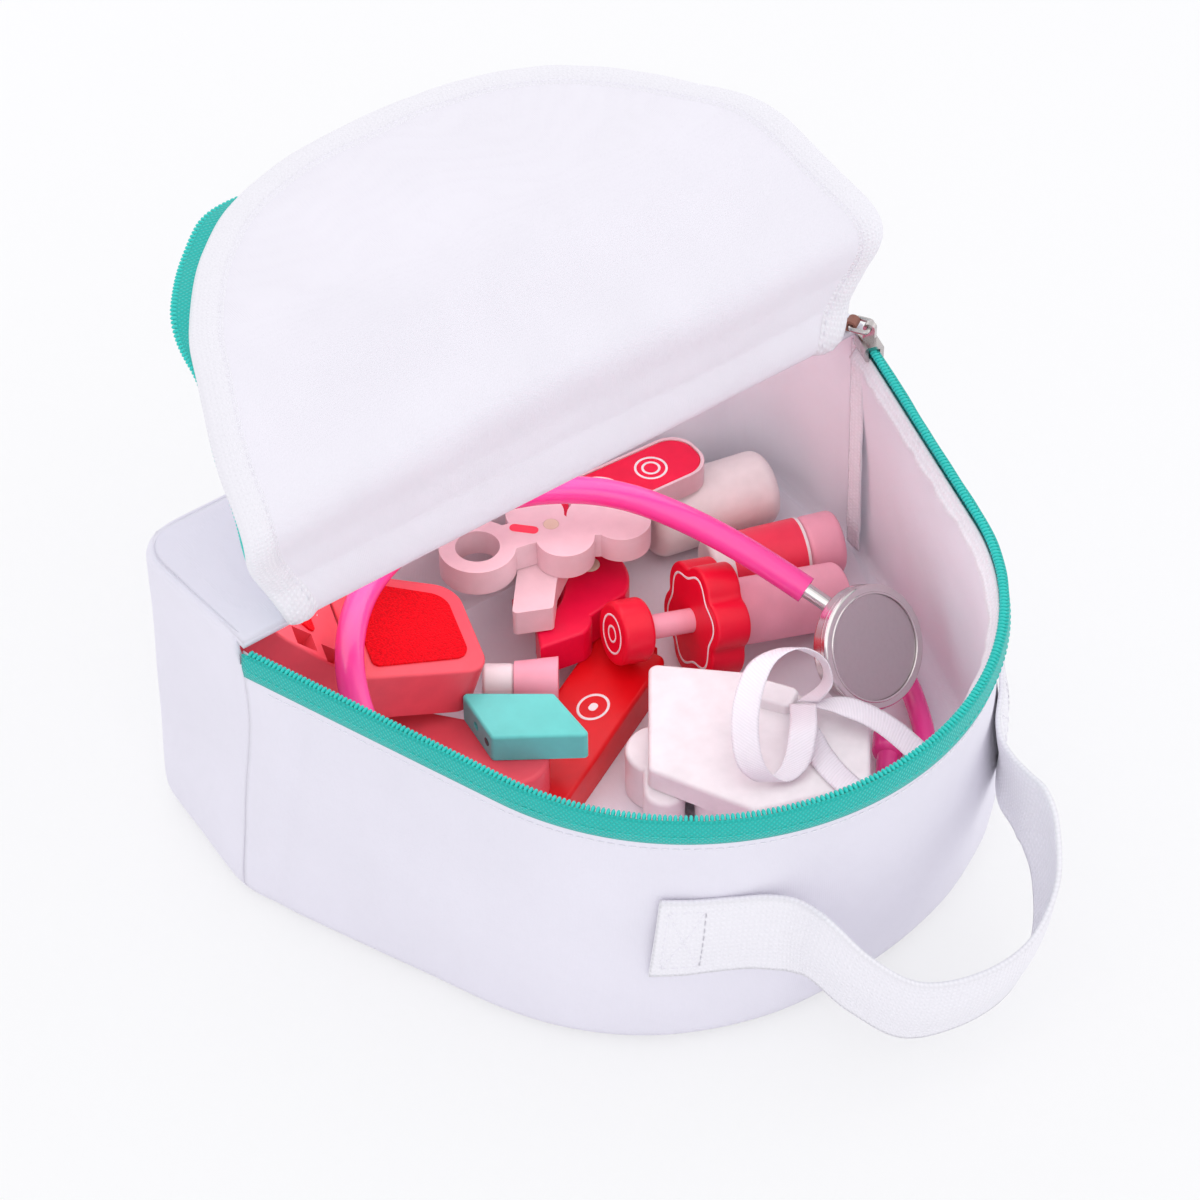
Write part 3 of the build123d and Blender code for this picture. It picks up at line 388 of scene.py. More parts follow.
@dataclass(frozen=True)
class WovenCloth(Finish):
    """Thin plain-woven cloth, with a fine weave, soft creases and faint mottling."""
    thread: float = 0.0007

    def paint(self, shader: Shader) -> None:
        """Feeds the shader.

        Args:
            shader: The shader under construction.
        """
        place = shader.place()
        warp, weft = (shader.ribs(place, self.thread, axis, distortion=0.4) for axis in "XZ")
        creases = shader.relief(shader.mottle(place, 55.0), strength=0.35, depth=0.002)
        shader.tint(shader.mottle(place, 30.0, 4.0), self.base, dark=0.975, light=1.01)
        shader.emboss(shader.weave(warp, weft), 0.5, 0.00008, creases)
        shader.set(Roughness=0.85, Sheen_Weight=0.15, Sheen_Roughness=0.6, Specular_IOR_Level=0.25)


@dataclass(frozen=True)
class Webbing(Finish):
    """Ribbed narrow weave on the strap's own UV: ribs across it, with a fine twill in them."""
    rib: float = 0.0016

    def paint(self, shader: Shader) -> None:
        """Feeds the shader.

        Args:
            shader: The shader under construction.
        """
        place = shader.place(Coordinates.UV)
        across = shader.ribs(place, self.rib, "X", distortion=0.6)
        along = shader.ribs(place, self.rib * 1.15, "Y", distortion=0.6)
        weave = shader.weave(across, along)
        fuzz = shader.relief(shader.mottle(place, 900.0), strength=0.25, depth=0.0002)
        shader.tint(weave, self.base, dark=0.95, light=1.0, low=0.0, high=0.5)
        shader.emboss(weave, 0.6, 0.0004, fuzz)
        shader.set(Roughness=0.8, Sheen_Weight=0.2, Specular_IOR_Level=0.3)


@dataclass(frozen=True)
class ZipTape(Finish):
    """Tightly woven zip tape on its own UV, with a herringbone of fine ribs."""
    rib: float = 0.0011

    def paint(self, shader: Shader) -> None:
        """Feeds the shader.

        Args:
            shader: The shader under construction.
        """
        weave = shader.weave(*(shader.ribs(shader.place(Coordinates.UV, turn=turn), self.rib)
                               for turn in (45.0, -45.0)))
        shader.tint(weave, self.base, dark=0.8, light=1.05, low=0.0, high=0.6)
        shader.emboss(weave, strength=0.8, depth=0.0003)
        shader.set(Roughness=0.6, Sheen_Weight=0.2, Specular_IOR_Level=0.35)


@dataclass(frozen=True)
class Moulded(Finish):
    """Smooth moulded plastic or rubber with a faint orange-peel skin."""
    roughness: float = 0.35
    coat: float = 0.0
    glow: float = 0.0

    def paint(self, shader: Shader) -> None:
        """Feeds the shader.

        Args:
            shader: The shader under construction.
        """
        place = shader.place()
        shader.tint(shader.mottle(place, 40.0), self.base, dark=0.96, light=1.03)
        shader.emboss(shader.mottle(place, 500.0), strength=0.2, depth=0.00006)
        shader.set(Roughness=self.roughness, Coat_Weight=self.coat, Coat_Roughness=0.15,
                   Subsurface_Weight=self.glow, Subsurface_Radius=(0.004, 0.002, 0.002), Subsurface_Scale=1.0)


@dataclass(frozen=True)
class PaintedWood(Finish):
    """Satin paint on fine beech: brush mottling, a trace of the grain and a faint broad unevenness."""
    roughness: float = 0.38
    grain: float = 0.00008

    def paint(self, shader: Shader) -> None:
        """Feeds the shader.

        Args:
            shader: The shader under construction.
        """
        grain = shader.mottle(shader.place(scale=(1.0, 0.25, 1.0)), 700.0, 4.0)
        pores = shader.relief(grain, 0.35, self.grain)
        place = shader.place()
        shader.tint(shader.mottle(place, 120.0, 5.0), self.base, dark=0.94, light=1.04)
        shader.emboss(shader.mottle(place, 90.0), 0.2, 0.0004, pores)
        shader.set(Roughness=self.roughness, Coat_Weight=0.1, Coat_Roughness=0.2, Specular_IOR_Level=0.3)


@dataclass(frozen=True)
class Felt(Finish):
    """Dense felt: short fibres and a speckled surface."""

    def paint(self, shader: Shader) -> None:
        """Feeds the shader.

        Args:
            shader: The shader under construction.
        """
        fibres = shader.mottle(shader.place(), 1500.0, 6.0)
        shader.tint(fibres, self.base, dark=0.78, light=1.15, low=0.35, high=0.65)
        shader.emboss(fibres, strength=0.9, depth=0.0005)
        shader.set(Roughness=0.97, Sheen_Weight=0.06, Sheen_Roughness=0.5, Specular_IOR_Level=0.04)


@dataclass(frozen=True)
class PolishedMetal(Finish):
    """Bright plated metal with faint handling marks, which lie closer together where it is brushed."""
    roughness: float = 0.16
    brushed: bool = False

    def paint(self, shader: Shader) -> None:
        """Feeds the shader.

        Args:
            shader: The shader under construction.
        """
        place = shader.place(scale=(4, 4, 1) if self.brushed else (1, 1, 1))
        marks = shader.mottle(place, 260.0 if self.brushed else 120.0, 6.0)
        spread = shader.node("ShaderNodeMapRange", From_Min=0.3, From_Max=0.7,
                             To_Min=self.roughness * 0.8, To_Max=self.roughness * 1.4)
        shader.link(marks, spread.inputs["Value"])
        shader.link(spread.outputs["Result"], shader.main.inputs["Roughness"])
        shader.emboss(marks, strength=0.25, depth=0.00012)
        shader.set(Metallic=1.0, Base_Color=self.base)


@dataclass(frozen=True)
class Leather(Finish):
    """Soft brown leather with a pebbled grain."""

    def paint(self, shader: Shader) -> None:
        """Feeds the shader.

        Args:
            shader: The shader under construction.
        """
        place = shader.place()
        pebbles = shader.node("ShaderNodeTexVoronoi", feature="DISTANCE_TO_EDGE", Scale=1100.0)
        shader.link(place, pebbles.inputs["Vector"])
        shader.tint(shader.mottle(place, 200.0), self.base, dark=0.8, light=1.1)
        shader.emboss(pebbles.outputs["Distance"], strength=0.6, depth=0.0002)
        shader.set(Roughness=0.55, Specular_IOR_Level=0.35)


@dataclass(frozen=True)
class Satin(Finish):
    """Satin ribbon on its own UV: fine lines across it and a soft sheen."""
    line: float = 0.0009

    def paint(self, shader: Shader) -> None:
        """Feeds the shader.

        Args:
            shader: The shader under construction.
        """
        lines = shader.ribs(shader.place(Coordinates.UV, turn=35.0), self.line)
        shader.tint(lines, self.base, dark=0.93, light=1.0, low=0.0, high=0.7)
        shader.emboss(lines, strength=0.5, depth=0.00015)
        shader.set(Roughness=0.38, Sheen_Weight=0.4, Specular_IOR_Level=0.6)


class Finishes:
    """All finishes of the case and its toys, each made once."""

    def __init__(self) -> None:
        """Builds every material."""
        self.cloth = WovenCloth("cloth_white", colour(238, 235, 245)).material()
        self.lining = WovenCloth("lining_white", colour(244, 241, 248), 0.0006).material()
        self.webbing = Webbing("webbing_white", colour(250, 248, 253)).material()
        self.thread = Moulded("thread_white", colour(246, 244, 250), 0.7).material()
        self.tape = ZipTape("zip_tape_teal", colour(26, 200, 190)).material()
        self.coil = Moulded("zip_coil_teal", colour(40, 212, 202), 0.4).material()
        self.nickel = PolishedMetal("slider_nickel", colour(196, 190, 190), 0.22).material()
        self.leather = Leather("pull_leather", colour(150, 98, 84)).material()
        self.tube = Moulded("tube_magenta", colour(255, 66, 158), 0.24, 0.3, 0.1).material()
        self.steel = PolishedMetal("chest_steel", colour(214, 208, 208), 0.14).material()
        self.disc = PolishedMetal("diaphragm_grey", colour(196, 188, 190), 0.36, True).material()
        self.red = PaintedWood("wood_red", colour(238, 10, 48)).material()
        self.crimson = PaintedWood("wood_crimson", colour(240, 12, 66)).material()
        self.scarlet = PaintedWood("wood_scarlet", colour(228, 8, 22)).material()
        self.salmon = PaintedWood("wood_salmon", colour(240, 84, 98)).material()
        self.pink = PaintedWood("wood_pink", colour(252, 174, 192)).material()
        self.blush = PaintedWood("wood_blush", colour(234, 202, 208)).material()
        self.white = PaintedWood("wood_white", colour(246, 240, 242)).material()
        self.cream = PaintedWood("wood_cream", colour(246, 236, 234)).material()
        self.teal = PaintedWood("wood_teal", colour(104, 212, 204)).material()
        self.label = PaintedWood("label_salmon", colour(252, 62, 90)).material()
        self.beech = PaintedWood("beech_plug", colour(222, 202, 180), 0.6, 0.0002).material()
        self.felt = Felt("felt_red", colour(232, 4, 26)).material()
        # Dark teal: painted shade for the shadow inside the block's peg hole, which is laid as a flat disc,
        # not a recess.
        self.shade = PaintedWood("peg_hole_painted_shade_teal", colour(22, 84, 82)).material()
        self.print = Moulded("print_white", colour(250, 246, 248), 0.5).material()
        self.ribbon = Satin("ribbon_white", colour(246, 240, 247)).material()


# ---- shapes -------------------------------------------------------------------------------------
def mapped_sheet(columns: int, rows: int, place: Place, size: Point = (1.0, 1.0)) -> bmesh.types.BMesh:
    """Grid of quads bent into a shape.

    Args:
        columns: Quads along the sheet.
        rows: Quads across it.
        place: Gives the point in metres for a share along and a share across.
        size: Length and width in metres, which the UV map is laid out in.

    Returns:
        The mesh, with coincident points merged.
    """
    bm = bmesh.new()
    chart = bm.loops.layers.uv.new("UVMap")
    bmesh.ops.create_grid(bm, x_segments=columns, y_segments=rows, size=0.5)
    for face in bm.faces:
        for loop in face.loops:
            loop[chart].uv = ((loop.vert.co.x + 0.5) * size[0], (loop.vert.co.y + 0.5) * size[1])
    for vert in bm.verts:
        vert.co = place(vert.co.x + 0.5, vert.co.y + 0.5)
    bmesh.ops.remove_doubles(bm, verts=bm.verts, dist=1e-6)
    return bm


class Path:
    """Smooth curve through a few points, read by the share of its length."""

    def __init__(self, points: Sequence[Sequence[float]]) -> None:
        """Takes the points in order, in millimetres.

        Args:
            points: The points in order, in millimetres.
        """
        self.points = [Vector(point) for point in points]
        self.stations = [0.0]
        for start, end in zip(self.points, self.points[1:]):
            self.stations.append(self.stations[-1] + (end - start).length)
        self.length = self.stations[-1]

    def at(self, share: float) -> Vector:
        """Point at a share of the length."""
        place = share * self.length
        return Vector([interpolate(list(zip(self.stations, values)), place) for values in zip(*self.points)])

    def way(self, share: float) -> Vector:
        """Direction of travel at a share of the length."""
        step = 0.004
        return (self.at(min(share + step, 1.0)) - self.at(max(share - step, 0.0))).normalized()


@dataclass(frozen=True)
class StitchRow:
    """Row of thread stitches along a line."""
    pitch: float = 3.2
    length: float = 2.4
    thickness: float = 0.45

    def stitch(self, bm: bmesh.types.BMesh, centre: Vector, way: Vector, out: Vector) -> None:
        """Adds one rounded stitch to a mesh.

        Args:
            bm: The mesh.
            centre: Its middle.
            way: Its direction.
            out: The direction away from the cloth.
        """
        side = way.cross(out).normalized()
        turn = Matrix((way * self.length / 2, side * self.thickness / 2,
                       out.normalized() * self.thickness / 2)).transposed()
        place = Matrix.Translation(centre * MM) @ (turn * MM).to_4x4()
        bmesh.ops.create_uvsphere(bm, u_segments=6, v_segments=4, radius=1.0,
                                  matrix=place @ Matrix.Rotation(math.pi / 2, 4, "Y"))

    def build(self, name: str, line: Callable[[float], tuple[Vector, Vector]], span: float,
              material: bpy.types.Material, slot: str) -> bpy.types.Object:
        """Sews the row.

        Args:
            name: Name of the piece.
            line: Gives the point and the outward direction for a share of the line.
            span: Length of the line.
            material: The thread's material.
            slot: The record's material slot.

        Returns:
            The row of stitches.
        """
        bm = bmesh.new()
        count = max(int(span / self.pitch), 2)
        for index in range(count):
            share = (index + 0.5) / count
            point, out = line(share)
            ahead = line(min(share + 0.3 / count, 1.0))[0] - line(max(share - 0.3 / count, 0.0))[0]
            self.stitch(bm, point, ahead.normalized(), out)
        return add_piece(bm, name, material, slot)


class Body(Enum):
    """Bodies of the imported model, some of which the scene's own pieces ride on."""
    CASE = "case"
    LID_ROOT = "lid_root"
    LID_MIDDLE = "lid_middle"
    LID_TIP = "lid_tip"
    HANDLE = "handle"
    PLUNGER = "plunger"
    FORCEP_ARM = "forcep_arm"


# ---- the camera and the studio ------------------------------------------------------------------
@dataclass(frozen=True)
class Lamp:
    """A soft rectangular lamp. Millimetres and watts."""
    name: str
    spot: Spot
    size: Point
    power: float
    aim: Spot = (0.0, -30.0, 60.0)

    def hang(self) -> None:
        """Hangs the lamp, which the camera doesn't see."""
        data = bpy.data.lights.new(self.name, "AREA")
        data.shape = "RECTANGLE"
        data.size, data.size_y = (side * MM for side in self.size)
        data.energy = self.power
        lamp = in_scene(self.name, data)
        lamp.visible_camera = False
        lamp.location = mm(*self.spot)
        lamp.rotation_euler = (mm(*self.aim) - mm(*self.spot)).to_track_quat("-Z", "Y").to_euler()


@dataclass(frozen=True)
class Studio:
    """Camera, lamps, world and floor. Lengths in millimetres, angles in degrees."""
    azimuth: float = -37.01
    elevation: float = 43.375
    roll: float = -0.694
    distance: float = 1315.83
    target: Spot = (53.97, 55.86, -23.0)
    lens: float = 115.115
    floor_size: float = 9000.0
    floor_colour: Colour = (0.93, 0.93, 0.94, 1.0)
    world_colour: Colour = (0.97, 0.97, 1.0, 1.0)
    world_strength: float = 0.94
    backdrop_share: float = 0.56
    lamps: tuple[Lamp, ...] = (
        Lamp("key_lamp", (-500, -1000, 700), (900, 900), 1.3),
        Lamp("fill_lamp", (1000, -500, 500), (900, 900), 1.2),
        Lamp("rear_lamp", (100, 900, 700), (800, 800), 1.2),
        Lamp("mouth_lamp", (-2, -30, 101), (150, 150), 0.036, (-2, -30, 0)),
        Lamp("rear_mouth_lamp", (0, 30, 97), (190, 42), 0.039, (0, 31, 0)),
    )

    def camera(self) -> None:
        """Sets the camera up."""
        turn, lift, roll = (math.radians(angle) for angle in (self.azimuth, self.elevation, self.roll))
        back = Vector((math.sin(turn) * math.cos(lift), -math.cos(turn) * math.cos(lift), math.sin(lift)))
        level = Vector((math.cos(turn), math.sin(turn), 0))
        rise = back.cross(level)
        right = level * math.cos(roll) + rise * math.sin(roll)
        up = rise * math.cos(roll) - level * math.sin(roll)
        data = bpy.data.cameras.new("camera")
        data.lens = self.lens
        data.sensor_width = 36.0
        data.clip_end = 50.0
        camera = in_scene("camera", data)
        place = Matrix((right, up, back)).transposed().to_4x4()
        place.translation = mm(*self.target) + back * self.distance * MM
        camera.matrix_world = place
        bpy.context.scene.camera = camera

    def seen_share(self, tree: bpy.types.NodeTree) -> Socket:
        """One for rays from the camera and for those seen in gloss and glass, otherwise zero.

        Args:
            tree: The node tree that it is for.

        Returns:
            The socket that holds it.
        """
        rays = tree.nodes.new("ShaderNodeLightPath")
        share = rays.outputs["Is Camera Ray"]
        for kind in ("Is Glossy Ray", "Is Transmission Ray"):
            either = tree.nodes.new("ShaderNodeMath")
            either.operation = "MAXIMUM"
            tree.links.new(share, either.inputs[0])
            tree.links.new(rays.outputs[kind], either.inputs[1])
            share = either.outputs[0]
        return share

    def world(self) -> None:
        """Lights the scene evenly and shows a white background."""
        world = bpy.data.worlds.new("studio_world")
        bpy.context.scene.world = world
        world.use_nodes = True
        tree = world.node_tree
        light = tree.nodes["Background"]
        light.inputs["Color"].default_value = self.world_colour
        light.inputs["Strength"].default_value = self.world_strength
        white = tree.nodes.new("ShaderNodeBackground")
        white.inputs["Color"].default_value = (1, 1, 1, 1)
        mix = tree.nodes.new("ShaderNodeMixShader")
        tree.links.new(self.seen_share(tree), mix.inputs[0])
        tree.links.new(light.outputs[0], mix.inputs[1])
        tree.links.new(white.outputs[0], mix.inputs[2])
        tree.links.new(mix.outputs[0], tree.nodes["World Output"].inputs["Surface"])

    def floor(self) -> None:
        """Lays the pale floor, which keeps the shadow."""
        bm = bmesh.new()
        bmesh.ops.create_grid(bm, x_segments=1, y_segments=1, size=self.floor_size / 2 * MM)
        mesh = bpy.data.meshes.new("floor")
        bm.to_mesh(mesh)
        bm.free()
        piece = in_scene("floor", mesh)
        shader = Shader("floor_white")
        shader.set(Base_Color=self.floor_colour, Roughness=0.9, Specular_IOR_Level=0.1)
        glow = shader.node("ShaderNodeEmission", Color=(1, 1, 1, 1))
        share = shader.node("ShaderNodeMath", operation="MULTIPLY")
        share.inputs[1].default_value = self.backdrop_share
        shader.link(self.seen_share(shader.tree), share.inputs[0])
        mix = shader.node("ShaderNodeMixShader")
        shader.link(share.outputs[0], mix.inputs[0])
        shader.link(shader.main.outputs[0], mix.inputs[1])
        shader.link(glow.outputs[0], mix.inputs[2])
        shader.link(mix.outputs[0], shader.tree.nodes["Material Output"].inputs["Surface"])
        mesh.materials.append(shader.material)

    def build(self) -> None:
        """Sets the whole studio up."""
        bpy.context.scene.view_settings.view_transform = "Standard"
        self.camera()
        self.world()
        self.floor()
        for lamp in self.lamps:
            lamp.hang()
        LOG.info("studio: camera, %d lamps, world and floor", len(self.lamps))


def dress(node: bpy.types.Object, material: bpy.types.Material) -> None:
    """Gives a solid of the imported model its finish."""
    for slot in node.material_slots:
        slot.material = material
    LOG.info("%s: %s", node.name, material.name)


# ---- the stethoscope ----------------------------------------------------------------------------
@dataclass(frozen=True)
class Tube:
    """One soft tube as a cord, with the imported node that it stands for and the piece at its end."""
    name: str
    node: str
    end_piece: str
    diameter: float
    length: float
    route: tuple[Spot, ...]

    def build(self, frame: dict, material: bpy.types.Material) -> None:
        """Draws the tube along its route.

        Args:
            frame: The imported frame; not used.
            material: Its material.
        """
        curve = bpy.data.curves.new(self.name, "CURVE")
        curve.dimensions = "3D"
        spline = curve.splines.new("NURBS")
        spline.points.add(len(self.route) - 1)
        for point, place in zip(spline.points, self.route):
            point.co = (*mm(*place), 1.0)
        spline.order_u = 3
        spline.use_endpoint_u = True
        curve.bevel_depth = self.diameter / 2 * MM
        curve.bevel_resolution = 8
        curve.resolution_u = 16
        curve.use_fill_caps = True
        tube = in_scene(self.name, curve)
        curve.materials.append(material)
        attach(tube, Body.CASE.value)
        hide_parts(self.node)
        mm(*self.route[0])
        LOG.info("%s: %.0f mm of tube", self.name, self.length)


@dataclass(frozen=True)
class Collar:
    """Turned ring on the chestpiece: its radius, how far it lies behind the face and how thick it is."""
    name: str
    radius: float
    depth: float
    wire: float

    def build(self, centre: Spot, facing: Spot, material: bpy.types.Material) -> None:
        """Turns the ring about the middle of the chestpiece's face.

        Args:
            centre: Middle of the chestpiece's face, in millimetres.
            facing: The direction that the face looks in.
            material: Its material.
        """
        bm = bmesh.new()
        section = Matrix.Translation(mm(self.radius, 0, 0)) @ Matrix.Rotation(math.pi / 2, 4, "X")
        bmesh.ops.create_circle(bm, segments=10, radius=self.wire / 2 * MM, matrix=section)
        bmesh.ops.spin(bm, geom=bm.edges[:], cent=(0, 0, 0), axis=(0, 0, 1), angle=2 * math.pi, steps=96,
                       use_merge=True)
        bmesh.ops.remove_doubles(bm, verts=bm.verts, dist=1e-6)
        bmesh.ops.recalc_face_normals(bm, faces=bm.faces)
        out = Vector(facing).normalized()
        place = Matrix.Translation(mm(*centre) - out * self.depth * MM)
        turn = out.to_track_quat("Z", "Y").to_matrix().to_4x4()
        bmesh.ops.transform(bm, matrix=place @ turn, verts=bm.verts)
        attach(add_piece(bm, self.name, material, "steel"), Body.CASE.value)


@dataclass(frozen=True)
class Stethoscope:
    """The stethoscope: chestpiece, tube, yoke and two ear tubes."""
    tubes: tuple[Tube, ...] = (
        Tube("stethoscope_tube", "chest_tube", "yoke", 9.0, 364.0, (
            (65.99, -37.20, 43.60), (58.04, -19.27, 51.09), (47, 1, 58), (36, 18, 62), (22, 30, 64),
            (4, 37.5, 66), (-16, 39.5, 68), (-37, 35.5, 70), (-56, 27, 72.5), (-72, 14, 74.5),
            (-85, -2, 74.5), (-93, -19, 71), (-96, -36, 64), (-92, -53, 54), (-86, -68, 43), (-76, -81, 32),
            (-62, -91.5, 21), (-43.93, -100.38, 10.8), (-27, -106.5, 10.8))),
        Tube("stethoscope_ear_tube_front", "ear_tube_front", "ear_tip_front", 7.0, 159.0, (
            (-13.38, -115.89, 10.8), (-1.15, -120.31, 10.8), (20, -123, 9.3), (40, -117, 9.3),
            (58, -106, 9.3), (73, -91, 9.3), (84, -73, 9.3), (92, -54, 9.3), (99, -35, 9.3))),
        Tube("stethoscope_ear_tube_rear", "ear_tube_rear", "ear_tip_rear", 7.0, 81.0, (
            (-10.52, -107.99, 10.8), (1.70, -112.41, 10.8), (19, -112, 9.3), (36, -106, 9.3), (50, -97, 9.3),
            (61, -85, 9.3))),
    )
    collars: tuple[Collar, ...] = (
        Collar("chestpiece_inner_ring", 17.2, 0.1, 0.9),
        Collar("chestpiece_rim_ring", 19.3, 2.6, 1.5),
    )
    centre: Spot = (70.4, -66.4, 38.0)
    facing: Spot = (0.10, -0.82, 0.56)

    def build(self, frame: dict, finishes: Finishes) -> None:
        """Draws the tubes, dresses the metal and the ends, and turns the chestpiece's rings.

        Args:
            frame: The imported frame.
            finishes: All finishes.
        """
        nodes = frame["nodes"]
        dress(nodes["chestpiece"], finishes.steel)
        dress(nodes["diaphragm"], finishes.disc)
        for tube in self.tubes:
            dress(nodes[tube.end_piece], finishes.tube)
            tube.build(frame, finishes.tube)
        for collar in self.collars:
            collar.build(self.centre, self.facing, finishes.steel)


# ---- the case -----------------------------------------------------------------------------------
@dataclass(frozen=True)
class CaseOutline:
    """D-shaped plan of the case, which changes evenly from the floor to the mouth. Millimetres."""
    base_half: float = 122.0
    base_nose_y: float = -43.0
    rim_half: float = 120.0
    rim_nose_y: float = -58.0
    nose_radius: float = 96.0
    back_half: float = 122.0
    back_y: float = 60.0
    corner: float = 15.0
    mouth: float = 91.0

    def sizes(self, z: float) -> tuple[float, float, float, float]:
        """Half width at the fold, the nose's centre, its half angle and the straight side's length.

        Args:
            z: Height.

        Returns:
            The four sizes in that order.
        """
        share = z / self.mouth
        half = self.base_half + (self.rim_half - self.base_half) * share
        nose_y = self.base_nose_y + (self.rim_nose_y - self.base_nose_y) * share
        reach = math.hypot(half, nose_y)
        sweep = math.pi / 2 + math.atan2(-nose_y, half) - math.acos(self.nose_radius / reach)
        return half, nose_y, sweep, math.sqrt(reach ** 2 - self.nose_radius ** 2)

    def front_length(self, z: float) -> float:
        """Length round the front from one fold end to the other."""
        _, _, sweep, side = self.sizes(z)
        return 2 * (self.nose_radius * sweep + side)

    def back_length(self) -> float:
        """Length round the back."""
        return 2 * (self.back_y - self.corner + self.corner * math.pi / 2 + self.back_half - self.corner)

    def front(self, share: float, z: float) -> tuple[Vector, Vector]:
        """Point round the front and the outward direction there.

        Args:
            share: Share of the length, from the left end of the fold to the right one.
            z: Height.

        Returns:
            The point and the direction.
        """
        _, nose_y, sweep, side = self.sizes(z)
        place = (2 * share - 1) * (self.nose_radius * sweep + side)
        sign = 1.0 if place >= 0 else -1.0
        angle = min(abs(place) / self.nose_radius, sweep)
        beyond = max(abs(place) - self.nose_radius * sweep, 0.0)
        out = Vector((sign * math.sin(angle), -math.cos(angle), 0))
        along = Vector((sign * math.cos(angle), math.sin(angle), 0))
        return Vector((0, nose_y, z)) + out * self.nose_radius + along * beyond, out

    def back(self, share: float, z: float) -> tuple[Vector, Vector]:
        """Point round the back and the outward direction there.

        Args:
            share: Share of the length, from the right end of the fold to the left one.
            z: Height.

        Returns:
            The point and the direction.
        """
        half = self.sizes(min(z, self.mouth))[0]
        side = self.back_y - self.corner
        turn = self.corner * math.pi / 2
        middle = self.back_half - self.corner
        total = 2 * (side + turn + middle)
        place = share * total
        sign = 1.0 if place < total / 2 else -1.0
        place = min(place, total - place)
        if place < side:
            x = half + (self.back_half - half) * place / side
            spot, out = Vector((x, place, z)), Vector((1, 0, 0))
        elif place < side + turn:
            angle = (place - side) / self.corner
            out = Vector((math.cos(angle), math.sin(angle), 0))
            spot = Vector((middle, side, z)) + out * self.corner
        else:
            spot, out = Vector((middle - (place - side - turn), self.back_y, z)), Vector((0, 1, 0))
        return Vector((sign * spot.x, spot.y, spot.z)), Vector((sign * out.x, out.y, 0))


